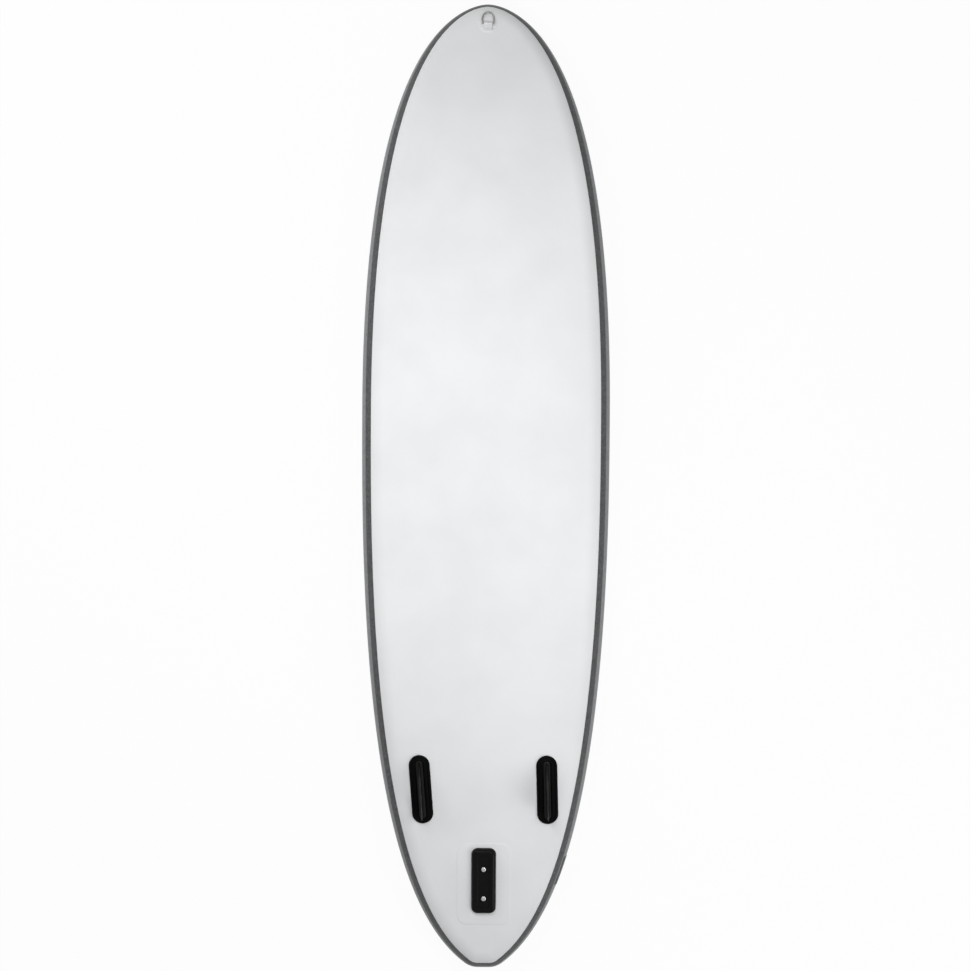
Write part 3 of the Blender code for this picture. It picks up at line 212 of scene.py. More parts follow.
# Nylon webbing: thick weft makes ribs across the strap, the fibres give a little sheen
def makeWebbing(name, slotName, tones):
    made, tree, shader, coords = startMaterial(name, slotName, 0.78)
    shader.inputs["Sheen Weight"].default_value = 0.25
    # cords 2.2 mm apart and ribs 1.6 mm apart, drawn 14 and 10 mm apart
    cloth = weave(tree, coords, (13.823, 0.4), (10.053, 0.6))
    dress(tree, shader, cloth, tones, cloth, 0.0004)
    return made


# Drop-stitch yarn, polyester filament: off-white, its twist 1.5 mm long and drawn 9 mm long
def makeYarn():
    made, tree, shader, coords = startMaterial("polyesterYarn", "thread", 0.75)
    look = {"Vector": coords, "Scale": bandsPerMetre(9.4248), "Distortion": 1.0}
    twist = addNode(tree, "TexWave", look, bands_direction="Z")
    dress(tree, shader, twist, ("#D8D7CF", "#E4E3DB"), twist, 0.0002)
    return made


whitePvc = makeWhitePvc()
palePvc = makePalePvc()
tapePvc = makeTapePvc("pvcSeamTapeDarkGrey", ("#3F4041", "#5C5D5E"))
# The splice patch is the tape's own cloth drawn in darker tones: painted shade, where the patch faces
# outward on the rail, away from the lamps.
splicePvcPaintedShade = makeTapePvc("pvcSplicePatchPaintedShade", ("#373938", "#525453"))
finPlastic = makeFinPlastic()
brass = makeBrass()
whiteWebbing = makeWebbing("nylonWebbingWhite", "white_webbing", ("#E5E6E8", "#EFF0F2"))
blackWebbing = makeWebbing("nylonWebbingBlack", "black_webbing", ("#17181A", "#2B2C2F"))
yarn = makeYarn()
# Mid grey rail cloth, printed then coated: the print is mottled, the satin coat is pulled smooth by the air.
# Its threads lie 1 mm apart, drawn 3 mm apart.
railPvc = grained(
    "pvcCoatedPolyesterRailGrey", "rail_pvc", 0.46, ("#77797B", "#8F9193"),
    (14, 6, 0.7), (3, 3, 0.5), 0.00015, (0.40, 0.54), specular=0.35,
)
# Moulded black rubber, EPDM: deep black and satin, with the fine orange peel of a blasted mould
blackRubber = grained(
    "epdmRubberMouldedBlack", "black_rubber", 0.5, ("#030303", "#060606"),
    (16, 4, 0.5), (2, 3, 0.5), 0.0001, (0.34, 0.50), ior=1.52, specular=0.03,
)
# Seals of the valve, silicone: softer and duller than the pads
sealRubber = grained(
    "siliconeRubberSeal", "seal_rubber", 0.6, ("#191919", "#232323"),
    (4, 2, 0.5), (0.8, 2, 0.5), 0.00005, ior=1.41,
)
# Fin box, valve and cap, injection-moulded ABS: black with a fine spark-eroded texture
blackPlastic = grained(
    "absMouldedBlack", "black_plastic", 0.3, ("#040404", "#080808"),
    (22, 4, 0.5), (1.4, 2, 0.5), 0.00005, (0.18, 0.28), ior=1.54, specular=0.075,
)
# Valve stem, moulded acetal: milky white and a little slick
palePlastic = grained(
    "acetalMouldedWhite", "pale_plastic", 0.34, ("#D2D2D0", "#DCDCDA"),
    (6, 2, 0.5), (1, 2, 0.5), 0.00003, ior=1.48,
)
# Stainless rod and screws of the same steel: grey, with a haze of fine scratches. The rod is drawn darker
# than the screws, a painted reflection of darker surroundings in its bright metal.
ringSteelPaintedReflection, screwSteel = (
    grained(name, "steel", 0.24, tones, (4, 4, 0.5), (0.7, 2, 0.5), 0.00004, (0.16, 0.32), metallic=1.0)
    for name, tones in (
        # the rod's darker tones: painted reflection
        ("stainlessSteelRodPaintedReflection", ("#7C7C7B", "#929290")),
        ("stainlessSteelScrews", ("#9A9A98", "#AFAFAD")),
    )
)
# Closed-cell EVA foam, brushed: matt mid grey, speckled with cut cells 0.5 mm across and drawn 2 mm across
foam = grained("evaFoamBrushed", "foam", 0.88, ("#62656A", "#74777C"), (2, 4, 0.5), (2, 4, 0.5), 0.0003)
# Soft EVA sleeve on the handle: finer cells than the pad, black, polished a little by hands
sleeveFoam = grained(
    "evaFoamSleeveBlack", "black_rubber", 0.7, ("#151617", "#202122"),
    (25, 2, 0.5), (1.5, 4, 0.5), 0.0002, (0.55, 0.78), specular=0.3,
)
print("materials made")


# The board's lines, the same as the frame's
board = {
    "length": 3.200,
    "width": 0.813,
    "thickness": 0.152,
    "widestAhead": 0.236,
    "noseKick": 0.190,
    "noseRun": 1.250,
    "nosePower": 2.8,
    "tailKick": 0.050,
    "tailRun": 0.900,
    "tailPower": 2.2,
    "noseSideHandle": 1.280,
    "noseTipHandle": 0.005,
    "tailSideHandle": 0.380,
    "tailCornerHandle": 0.402,
    "tailCornerAngle": 52.4,
    "tailEndWidth": 0.036,
    "restAngles": (43.0, 54.5, 66.3333, 78.1667, 90.0),  # round the rail, where it can touch the floor
    "noseSteps": 84,
    "tailSteps": 64,
    "cornerSteps": 10,
}
rail = board["thickness"] / 2
noseEnd = board["length"] / 2
tailEnd = -board["length"] / 2
panelNose = noseEnd - rail
panelTail = tailEnd + rail
panelHalf = board["width"] / 2 - rail


def kick(y):
    nose = max(0.0, (y - noseEnd + board["noseRun"]) / board["noseRun"])
    tail = max(0.0, (tailEnd + board["tailRun"] - y) / board["tailRun"])
    return board["noseKick"] * nose ** board["nosePower"] + board["tailKick"] * tail ** board["tailPower"]


def kickSlope(y):
    step = 1e-5
    return (kick(y + step) - kick(y - step)) / (2 * step)


def dropBelow(y, outward, pitch):
    # how far the round rail at a panel end reaches under the middle surface
    slope = pitch - kickSlope(y)
    size = math.hypot(1.0, slope)
    turns = [math.radians(angle) for angle in board["restAngles"]]
    return max(rail * (math.sin(a) - outward * slope * math.cos(a)) / size for a in turns)


# the board's lean, so that both nose and tail touch the floor, found in a few rounds
pitch = 0.0
for _ in range(6):
    noseDrop = dropBelow(panelNose, 1, pitch) + kick(panelNose)
    tailDrop = dropBelow(panelTail, -1, pitch) + kick(panelTail)
    pitch = (noseDrop - tailDrop) / (panelNose - panelTail)
lift = tailDrop - pitch * panelTail


def middlePoint(x, y):
    return Vector((x, y, lift + pitch * y - kick(y)))


def alongBoard(y):
    return Vector((0.0, 1.0, pitch - kickSlope(y))).normalized()


def upward(y):
    run = alongBoard(y)
    return Vector((0.0, -run.z, run.y))


def surfaceFrame(x, y, side, turn=0.0, height=0.0):
    # local Z out of the skin, local Y to the nose
    out = upward(y) * side
    run = alongBoard(y)
    axes = Matrix((run.cross(out), run, out)).transposed().to_4x4()
    place = middlePoint(x, y) + out * (rail + height)
    return Matrix.Translation(place) @ axes @ Matrix.Rotation(math.radians(turn), 4, "Z")


def bezier(curve, t):
    p0, p1, p2, p3 = curve
    s = 1.0 - t
    return p0 * s**3 + p1 * (3 * s * s * t) + p2 * (3 * s * t * t) + p3 * t**3


def bezierRun(curve, t):
    p0, p1, p2, p3 = curve
    s = 1.0 - t
    return ((p1 - p0) * s * s + (p2 - p1) * (2 * s * t) + (p3 - p2) * t * t).normalized()


def panelEdge():
    angle = math.radians(board["tailCornerAngle"])
    corner = Vector((board["tailEndWidth"] / 2, panelTail))
    widest = Vector((panelHalf, board["widestAhead"]))
    tip = Vector((0.0, panelNose))
    leaving = Vector((math.sin(angle), math.cos(angle))) * board["tailCornerHandle"]
    tail = (corner, corner + leaving, widest - Vector((0.0, board["tailSideHandle"])), widest)
    sideHandle = Vector((0.0, board["noseSideHandle"]))
    nose = (widest, widest + sideHandle, tip + Vector((board["noseTipHandle"], 0.0)), tip)
    edge = []
    for i in range(board["cornerSteps"]):
        turn = -math.pi / 2 + (math.pi / 2 - angle) * i / board["cornerSteps"]
        edge.append((corner, Vector((math.cos(turn), math.sin(turn)))))
    for curve, steps in ((tail, board["tailSteps"]), (nose, board["noseSteps"])):
        for i in range(steps):
            run = bezierRun(curve, i / steps)
            edge.append((bezier(curve, i / steps), Vector((run.y, -run.x))))
    edge.append((tip, Vector((0.0, 1.0))))
    return edge


rightEdge = panelEdge()
leftEdge = [(Vector((-p.x, p.y)), Vector((-n.x, n.y))) for p, n in rightEdge[-2::-1]]
edgeLoop = rightEdge + leftEdge


def stationAt(y):
    # the right edge's point at a place along the board, and the outward normal there
    for (low, lowNormal), (high, highNormal) in zip(rightEdge, rightEdge[1:]):
        if low.y <= y < high.y:
            share = (y - low.y) / (high.y - low.y)
            return low.lerp(high, share), lowNormal.lerp(highNormal, share).normalized()
    return rightEdge[-1]


def panelHalfWidth(y):
    return stationAt(y)[0].x


def railPoint(station, angle, radius):
    # angle 0 is the widest line, 90 the bottom, -90 the deck
    point, normal = station
    turn = math.radians(angle)
    out = Vector((normal.x, 0.0, 0.0)) + alongBoard(point.y) * normal.y
    middle = middlePoint(point.x, point.y)
    return middle + out * (radius * math.cos(turn)) + upward(point.y) * (radius * math.sin(turn))


def nearestOnEdge(x, y):
    spot = Vector((abs(x), y))
    best, bestGap = None, 1e9
    for (low, _), (high, _) in zip(rightEdge, rightEdge[1:]):
        run = high - low
        if run.length > 0:
            share = (spot - low).dot(run) / run.length_squared
            foot = low + run * min(1.0, max(0.0, share))
            if (spot - foot).length < bestGap:
                best, bestGap = foot, (spot - foot).length
    return Vector((math.copysign(best.x, x), best.y))


def laidPoint(x, y, side, height):
    # over the outer face of a skin; past the flat panel it follows the round rail
    if panelTail <= y <= panelNose and abs(x) <= panelHalfWidth(y):
        return middlePoint(x, y) + upward(y) * side * (rail + height)
    foot = nearestOnEdge(x, y)
    away = Vector((x, y)) - foot
    angle = 90.0 - math.degrees(away.length / rail)
    return railPoint((foot, away.normalized()), side * angle, rail + height)


# Making of pieces
def addObject(name, mesh, place=None):
    # cleans a mesh, puts it in its place and links it to the scene
    if place is not None:
        mesh.transform(place)
    bmesh.ops.remove_doubles(mesh, verts=mesh.verts, dist=1e-6)
    bmesh.ops.dissolve_degenerate(mesh, edges=mesh.edges, dist=1e-6)
    bmesh.ops.recalc_face_normals(mesh, faces=mesh.faces)
    data = bpy.data.meshes.new(name)
    mesh.to_mesh(data)
    mesh.free()
    made = bpy.data.objects.new(name, data)
    bpy.context.scene.collection.objects.link(made)
    return made


def newPiece(name, mesh, material, nodes=(), body="root", sharp=35.0, place=None):
    piece = addObject(name, mesh, place)
    piece.data.materials.append(material)
    piece.data.shade_smooth()
    piece.data.set_sharp_from_angle(angle=math.radians(sharp))
    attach(piece, body)
    if nodes:
        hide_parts(*nodes)
    return piece


def cut(piece, mesh, place):
    # takes a solid out of a piece for good
    tool = addObject("cutter", mesh, place)
    modifier = piece.modifiers.new("cut", "BOOLEAN")
    modifier.operation = "DIFFERENCE"
    modifier.object = tool
    bpy.context.view_layer.update()
    fresh = bpy.data.meshes.new_from_object(piece.evaluated_get(bpy.context.evaluated_depsgraph_get()))
    piece.modifiers.clear()
    piece.data = fresh
    bpy.data.objects.remove(tool)


def bridge(mesh, low, high, closed=True):
    # faces between two rows of as many points
    for i in range(len(low) if closed else len(low) - 1):
        j = (i + 1) % len(low)
        mesh.faces.new((low[i], low[j], high[j], high[i]))


def loft(loops, caps=True, mesh=None):
    # a closed solid through loops of as many points each; without caps the last loop joins the first
    mesh = bmesh.new() if mesh is None else mesh
    rings = [[mesh.verts.new(p) for p in loop] for loop in loops]
    for low, high in zip(rings, rings[1:]):
        bridge(mesh, low, high)
    if caps:
        mesh.faces.new(rings[0][::-1])
        mesh.faces.new(rings[-1])
    else:
        bridge(mesh, rings[-1], rings[0])
    return mesh


def sweep(path, section, axesAt, closed=False):
    # carries a flat section along a path, on the two axes that axesAt gives for a point and its run
    loops = []
    for i, point in enumerate(path):
        ahead = path[(i + 1) % len(path)] if closed else path[min(i + 1, len(path) - 1)]
        behind = path[i - 1] if closed else path[max(i - 1, 0)]
        across, up = axesAt(point, (ahead - behind).normalized())
        loops.append([point + across * p.x + up * p.y for p in section])
    return loft(loops, caps=not closed)


def roundLoop(radius, height, sides):
    turns = [math.tau * i / sides for i in range(sides)]
    return [Vector((radius * math.cos(a), radius * math.sin(a), height)) for a in turns]


def turned(profile, sides=64, caps=True):
    return loft([roundLoop(radius, height, sides) for radius, height in profile], caps)


def rectangle(x0, y0, x1, y1, height=0.0):
    return [Vector((x, y, height)) for x, y in ((x0, y0), (x1, y0), (x1, y1), (x0, y1))]


def roundedOutline(length, width, corner, steps=8, height=0.0):
    corner = min(corner, length / 2 - 1e-6, width / 2 - 1e-6)
    points = []
    for sx, sy, start in ((1, 1, 0), (-1, 1, 90), (-1, -1, 180), (1, -1, 270)):
        for i in range(steps + 1):
            turn = math.radians(start + 90.0 * i / steps)
            x = sx * (width / 2 - corner) + corner * math.cos(turn)
            y = sy * (length / 2 - corner) + corner * math.sin(turn)
            points.append(Vector((x, y, height)))
    return points


def levels(length, width, corner, profile, steps=8):
    # outlines drawn in by an inset at each height
    loops = []
    for inset, height in profile:
        loops.append(roundedOutline(length - 2 * inset, width - 2 * inset, corner - inset, steps, height))
    return loops


def fillet(startInset, startHeight, endInset, endHeight, steps):
    # a quarter round between two (inset, height) corners; it leaves upright and arrives flat
    turns = [math.pi / 2 * i / steps for i in range(1, steps + 1)]
    across, up = endInset - startInset, endHeight - startHeight
    return [(startInset + across * (1 - math.cos(a)), startHeight + up * math.sin(a)) for a in turns]


def layOn(mesh, x0, y0, side, turn=0.0, height=0.0):
    # bends a mesh modelled flat (local Z out, local Y to the nose) over the skin
    step = 0.001
    ahead, behind = (laidPoint(x0, y0 + s, side, 0.0) for s in (step, -step))
    stretch = (ahead - behind).length / (2 * step)
    spin = Matrix.Rotation(math.radians(turn), 3, "Z")
    for vert in mesh.verts:
        local = spin @ vert.co
        vert.co = laidPoint(x0 + side * local.x, y0 + local.y / stretch, side, height + local.z)
    return mesh


# Hull: two skins that share the round rail, a wall between them and a tape over each joint
hull = {
    "skin": 0.0015,
    "tape": 0.0010,
    "wallReach": 42.8,
    "skinEdge": 43.0,
    "tapeOuter": 35.0,
    "tapeInner": 54.5,
    "tapeFeather": 0.7,
    "railRings": 16,
    "panelStrips": 14,
    "wallRings": 18,
    "wallFeather": 0.05,
    "tapeRings": 10,
}


def makeSkin(name, side, node):
    mesh = bmesh.new()
    edge, rings, strips = hull["skinEdge"], hull["railRings"], hull["panelStrips"]
    angles = [edge + (90.0 - edge) * i / rings for i in range(rings + 1)]
    tip = len(rightEdge) - 1
    borders = []
    for radius in (rail, rail - hull["skin"]):
        loops = [[mesh.verts.new(railPoint(s, side * a, radius)) for s in edgeLoop] for a in angles]
        for low, high in zip(loops, loops[1:]):
            bridge(mesh, low, high)
        panel = loops[-1]
        rows = []
        for i in range(tip):
            right, left = panel[i], panel[len(edgeLoop) - 1 - i]
            between = [mesh.verts.new(right.co.lerp(left.co, k / strips)) for k in range(1, strips)]
            rows.append([right, *between, left])
        for row, nextRow in zip(rows, rows[1:]):
            bridge(mesh, row, nextRow, closed=False)
        for k in range(strips):
            mesh.faces.new((rows[-1][k], panel[tip], rows[-1][k + 1]))
        borders.append(loops[0])
    bridge(mesh, *borders)
    return newPiece(name, mesh, whitePvc, (node,), sharp=50.0)


def railBand(name, section, material, node, stations=None):
    loops = [[railPoint(s, a, r) for a, r in section] for s in (stations or edgeLoop)]
    return newPiece(name, loft(loops, caps=bool(stations)), material, (node,), sharp=40.0)


def bandSection(low, high, inner, outer, rings, feather):
    # across a laid strip: its outer face with thinned edges, then back along its inner face
    section = [(low, inner + seat)]
    for i in range(rings + 1):
        section.append((low + feather + (high - low - 2 * feather) * i / rings, outer))
    section.append((high, inner + seat))
    back = max(2, rings // 3)
    return section + [(high + (low - high) * i / back, inner - seat) for i in range(back + 1)]


def makeHull():
    makeSkin("bottomSkinCloth", bottomSide, "bottom_skin")
    deckCloth = makeSkin("deckSkinCloth", deckSide, "deck_skin")
    reach, inner = hull["wallReach"], rail - hull["skin"]
    wall = bandSection(-reach, reach, inner, rail, hull["wallRings"], hull["wallFeather"])
    railBand("railWallCloth", wall, railPvc, "rail_wall")
    for name, side in (("bottom", bottomSide), ("deck", deckSide)):
        ends = sorted((side * hull["tapeOuter"], side * hull["tapeInner"]))
        tape = bandSection(*ends, rail, rail + hull["tape"], hull["tapeRings"], hull["tapeFeather"])
        railBand(name + "SeamTape", tape, tapePvc, name + "_seam_tape")
    return deckCloth


# Splice: where the rail's strip of cloth meets itself, covered by a lapped patch
splice = {
    "fromTail": 0.3125,
    "length": 0.0885,
    "reach": 29.0,
    "thickness": 0.0012,
    "feather": 1.2,
    "rings": 14,
}


def makeSplice():
    low = tailEnd + splice["fromTail"]
    high = low + splice["length"]
    stations = [stationAt(low), *(s for s in rightEdge if low < s[0].y < high), stationAt(high)]
    reach, outer = splice["reach"], rail + splice["thickness"]
    section = bandSection(-reach, reach, rail, outer, splice["rings"], splice["feather"])
    # the patch takes the darker copy of the tape cloth: painted shade
    railBand("railSplice", section, splicePvcPaintedShade, "rail_splice_patch", stations)


deckCloth = makeHull()
makeSplice()
print("hull made")


# Glued patches: thin cut cloth whose edge is feathered down by the roller
patch = {"thickness": 0.0010, "feather": 0.0025, "edge": 0.0001, "cornerSteps": 12, "grid": 0.006}


def makePatch(name, length, width, corner, x, y, side, material, node):
    profile = ((0.0, -seat), (0.0, patch["edge"]), (patch["feather"], patch["thickness"]))
    mesh = loft(levels(length, width, corner, profile, patch["cornerSteps"]))
    # gridded so that it can bend
    for axis, reach in ((0, width / 2), (1, length / 2)):
        spans = int(2 * reach / patch["grid"])
        for i in range(1, spans):
            spot, normal = Vector(), Vector()
            spot[axis] = -reach + 2 * reach * i / spans
            normal[axis] = 1.0
            geometry = list(mesh.verts) + list(mesh.edges) + list(mesh.faces)
            bmesh.ops.bisect_plane(mesh, geom=geometry, plane_co=spot, plane_no=normal)
    newPiece(name, layOn(mesh, x, y, side), material, (node,), sharp=60.0)


# Stitches: short thread humps along a line
stitch = {"length": 0.0032, "pitch": 0.0046, "thread": 0.0009, "sides": 6, "rings": 5}


def stitchLine(mesh, start, end):
    run = end - start
    count = max(1, int(run.length / stitch["pitch"]))
    forward = run.normalized()
    aside = localZ.cross(forward)
    for i in range(count):
        middle = start + run * ((i + 0.5) / count) + localZ * (stitch["thread"] * 0.15)
        loops = []
        for k in range(stitch["rings"]):
            share = 2 * k / (stitch["rings"] - 1) - 1
            centre = middle + forward * (share * stitch["length"] / 2)
            radius = stitch["thread"] / 2 * math.sqrt(max(0.04, 1 - share**2))
            section = roundLoop(radius, 0.0, stitch["sides"])
            loops.append([centre + aside * p.x + localZ * p.y for p in section])
        loft(loops, mesh=mesh)


def stitchBox(mesh, corners):
    for i in range(4):
        stitchLine(mesh, corners[i], corners[(i + 1) % 4])


def strapAlong(path, width, thickness):
    # a flat strap with rounded selvedges along a path in the YZ plane
    selvedge = thickness / 2
    section = []
    for side in (1, -1):
        for i in range(5):
            turn = math.radians(-90 * side + 180 * i / 4)
            x = side * (width / 2 - selvedge) + selvedge * math.cos(turn)
            section.append(Vector((x, selvedge * math.sin(turn))))
    return sweep(path, section, lambda point, run: (localX, localX.cross(run)))


# Deck pad: its sizes come before the rings, because the cargo rings stand ahead of it
deckPad = {
    "thickness": 0.005,
    "fromTail": 0.640,
    "length": 1.560,
    "sideMargin": 0.022,
    "panelGap": 0.006,
    "notchSide": 0.010,
    "notchEnd": 0.038,
    "corner": 0.060,
    "cornerSteps": 10,
    "bevel": 0.0035,
    "lift": 0.0006,
    "groovePitch": 0.016,
    "grooveWidth": 0.0045,
    "grooveDepth": 0.0022,
    "leastStep": 0.0008,
    "strips": 10,
}

# Rings: D-shaped stainless rod, each held by a webbing loop sewn and welded on its round patch
ring = {
    "wire": 0.0048,
    "corner": 0.0045,
    "leg": 0.0120,
    "patchDiameter": 0.062,
    "webbing": 0.0013,
    "clearance": 0.0004,
    "sideClearance": 0.0012,
    "loopTail": 0.020,
    "patchGap": 0.0006,
    "gap": 0.0003,
    "seamInset": 0.0022,
    "wireSides": 20,
    "bowSteps": 36,
    "cornerSteps": 8,
    # place across and along, side, width and reach of each ring
    "spots": {
        "nose_ring": (0.0, noseEnd - 0.103, bottomSide, 0.043, 0.046),
        "leash_ring": (0.0, tailEnd + 0.300, deckSide, 0.034, 0.022),
    },
}
cargo = {"aheadOfPad": 0.200, "apart": 0.370, "inside": 0.075, "width": 0.034, "reach": 0.032}
for end, ahead in (("rear", 0.0), ("front", cargo["apart"])):
    for hand, sign in (("left", -1), ("right", 1)):
        y = tailEnd + deckPad["fromTail"] + deckPad["length"] + cargo["aheadOfPad"] + ahead
        spot = (sign * (panelHalfWidth(y) - cargo["inside"]), y, deckSide, cargo["width"], cargo["reach"])
        ring["spots"]["cargo_ring_" + end + "_" + hand] = spot


def ringPath(width, reach):
    # the bow from its right shoulder to its left, then the legs' round corners to the bar
    half, bow = width / 2 - ring["wire"] / 2, reach - ring["wire"] / 2
    corner = ring["corner"]
    shoulder = min(corner + ring["leg"], bow - ring["wire"])
    path = []
    for i in range(ring["bowSteps"] + 1):
        turn = math.pi * i / ring["bowSteps"]
        path.append(Vector((half * math.cos(turn), shoulder + (bow - shoulder) * math.sin(turn), 0.0)))
    for side in (-1, 1):
        for i in range(ring["cornerSteps"] + 1):
            turn = math.pi / 2 * i / ring["cornerSteps"]
            away, rise = 1 - math.cos(turn), 1 - math.sin(turn)
            if side > 0:
                away, rise = rise, away
            path.append(Vector((side * (half - corner * away), corner * rise, 0.0)))
    return path


def ringTilt(path, x, y, side, place):
    if side == deckSide:  # hanging straight down
        run = alongBoard(y)
        return math.atan2(run.y, -run.z)
    clear = ring["patchGap"] + patch["thickness"] + ring["gap"] + ring["wire"] / 2
    tilts = []
    for point in path:
        if point.y > ring["wire"]:
            lowest = place.inverted() @ laidPoint(x + point.x, y + point.y, side, clear)
            tilts.append(math.atan2(lowest.z, lowest.y))
    return max(tilts)


def loopPath():
    # centre line of the webbing round the bar, from its end under the bar, over it, and back along itself
    radius = ring["wire"] / 2 + ring["clearance"] + ring["webbing"] / 2
    tail, top = ring["loopTail"], ring["webbing"] - radius
    path = [(-radius - tail * share, -radius) for share in (1.0, 0.75, 0.5, 0.25)]
    for i in range(17):
        turn = math.radians(-90 + 270 * i / 16)
        path.append((radius * math.cos(turn), radius * math.sin(turn)))
    path += [(-radius * 1.05, -radius * 0.25), (-radius * 1.6, top + 0.0007)]
    path += [(-radius - tail * share, top) for share in (0.35, 0.55, 0.75, 0.98)]
    return [Vector((0.0, y, z)) for y, z in path]


def makeRing(node):
    x, y, side, width, reach = ring["spots"][node]
    height = ring["patchGap"] + patch["thickness"] + ring["gap"]
    height += ring["webbing"] + ring["clearance"] + ring["wire"] / 2
    place = surfaceFrame(x, y, side, 0.0, height)
    path = ringPath(width, reach)
    tilt = Matrix.Rotation(ringTilt(path, x, y, side, place), 4, "X")
    section = roundLoop(ring["wire"] / 2, 0.0, ring["wireSides"])
    rod = sweep(path, section, lambda point, run: (run.cross(localZ), localZ), closed=True)
    newPiece(node + "_rod", rod, ringSteelPaintedReflection, (node,), body=node, place=place @ tilt)
    cloth, webbing = (whitePvc, whiteWebbing) if side == bottomSide else (palePvc, blackWebbing)
    loopWidth = width - ring["wire"] - 2 * ring["corner"] - ring["sideClearance"]
    strap = strapAlong(loopPath(), loopWidth, ring["webbing"])
    newPiece(node + "_strap", strap, webbing, (node + "_loop",), place=place)
    seams = bmesh.new()
    top = -ring["wire"] / 2 - ring["clearance"] + ring["webbing"]
    near, far = -ring["loopTail"] * 0.45, -ring["loopTail"] - 0.001
    edge = loopWidth / 2 - ring["seamInset"]
    stitchBox(seams, rectangle(-edge, near, edge, far, top))
    newPiece(node + "_stitches", seams, webbing, place=place)
    diameter = ring["patchDiameter"]
    makePatch(node + "_disc", diameter, diameter, diameter / 2, x, y, side, cloth, node + "_patch")


for node in ring["spots"]:
    makeRing(node)
print("rings made")


# Side fins: a raked foil on a flat foot, sunk in the pocket of a moulded rubber pad
sideFin = {
    "spread": 0.413,
    "fromTail": 0.612,
    "turns": {"left": 4.4, "right": 1.6},
    "padLength": 0.226,
    "padWidth": 0.069,
    "padHeight": 0.010,
    "padLip": 0.0022,
    "padBevel": 0.007,
    "pocketDepth": 0.003,
    "footLength": 0.190,
    "footWidth": 0.022,
    "footHeight": 0.0035,
    "rootLength": 0.182,
    "rootThickness": 0.0135,
    "tipThickness": 0.0080,
    "height": 0.108,
    "tipLength": 0.034,
    "tipBehind": 0.064,
    "frontCurve": 1.25,
    "rearCurve": 1.80,
    "rearHollow": 0.012,
    "frontFullness": 0.22,
    "gap": 0.0006,
    "pocketRoom": 0.0012,
    "footGap": 0.0003,
    "outlineSteps": 14,
    "slices": 26,
    "tipRoundFrom": 0.93,
    "flare": 0.0025,
    "flareHeight": 0.005,
}


def finMesh():
    spec = sideFin
    around, foot, rootHalf = spec["outlineSteps"], spec["footHeight"], spec["rootLength"] / 2
    footShape = (spec["footLength"], spec["footWidth"], spec["footWidth"] / 2)
    profile = ((0.0, 0.0), (0.0, foot - 0.0012), (0.0004, foot - 0.0004), (0.0014, foot))
    loops = levels(*footShape, profile, around)
    tipFront, tipRear = (end * spec["tipLength"] / 2 - spec["tipBehind"] for end in (1, -1))
    for i in range(spec["slices"] + 1):
        share = (1 - math.cos(math.pi * i / spec["slices"])) / 2
        height = foot + (spec["height"] - foot) * share
        front = tipFront + (rootHalf - tipFront) * (1 - share ** spec["frontCurve"])
        rear = tipRear - (rootHalf + tipRear) * (1 - share) ** spec["rearCurve"]
        rear += spec["rearHollow"] * math.sin(math.pi * share) * (1 - share)
        thickness = spec["rootThickness"] + (spec["tipThickness"] - spec["rootThickness"]) * share
        # the tip is rounded off over its last few millimetres, and the root swells into the foot
        past = max(0.0, (share - spec["tipRoundFrom"]) / (1 - spec["tipRoundFrom"]))
        rounding = math.sqrt(max(0.02, 1 - past**2))
        middle = (front + rear) / 2
        squeeze = 0.55 + 0.45 * rounding
        front, rear = middle + (front - middle) * squeeze, middle + (rear - middle) * squeeze
        swell = spec["flare"] * max(0.0, 1 - (height - foot) / spec["flareHeight"]) ** 2
        loop = []
        for p in roundedOutline(*footShape, around):
            along = min(1.0, max(0.0, p.y / spec["footLength"] + 0.5))
            foil = 2 * math.sqrt(max(0.0, along * (1 - along))) * (1 - spec["frontFullness"] * (1 - along))
            x = 0.0 if abs(p.x) < 1e-5 else math.copysign((thickness * rounding / 2 + swell) * foil, p.x)
            loop.append(Vector((x, rear + (front - rear) * along, height)))
        loops.append(loop)
    return loft(loops)


def makeSideFin(hand, sign):
    spec = sideFin
    x, y, turn = sign * spec["spread"] / 2, tailEnd + spec["fromTail"], spec["turns"][hand]
    top, lip, bevel = spec["padHeight"], spec["padLip"], spec["padBevel"]
    around = spec["outlineSteps"]
    profile = [(0.0006, -0.0012), (0.0, 0.0004), (0.0, lip), *fillet(0.0, lip, bevel, top, 8)]
    # a shallow gutter runs round the face, then the rim of the pocket
    for inset, drop in ((0.0016, 0.0), (0.0026, 0.0007), (0.0042, 0.0007), (0.0052, 0.0)):
        profile.append((bevel + inset, top - drop))
    loops = levels(spec["padLength"], spec["padWidth"], spec["padWidth"] / 2, profile, around)
    floor = top - spec["pocketDepth"]
    rim = [(-0.0012, top), (-0.0004, top - 0.0003), (0.0, top - 0.0012), (0.0, floor)]
    length, width = (spec[size] + spec["pocketRoom"] for size in ("footLength", "footWidth"))
    loops += levels(length, width, width / 2, rim, around)
    pad = layOn(loft(loops), x, y, bottomSide, turn, spec["gap"])
    newPiece("sideFinPad" + hand.title(), pad, blackRubber, ("side_fin_pad_" + hand,), sharp=50.0)
    place = surfaceFrame(x, y, bottomSide, turn, spec["gap"] + floor + spec["footGap"])
    newPiece("sideFin" + hand.title(), finMesh(), finPlastic, ("side_fin_" + hand,), sharp=50.0, place=place)


makeSideFin("left", -1)
makeSideFin("right", 1)
print("side fins made")


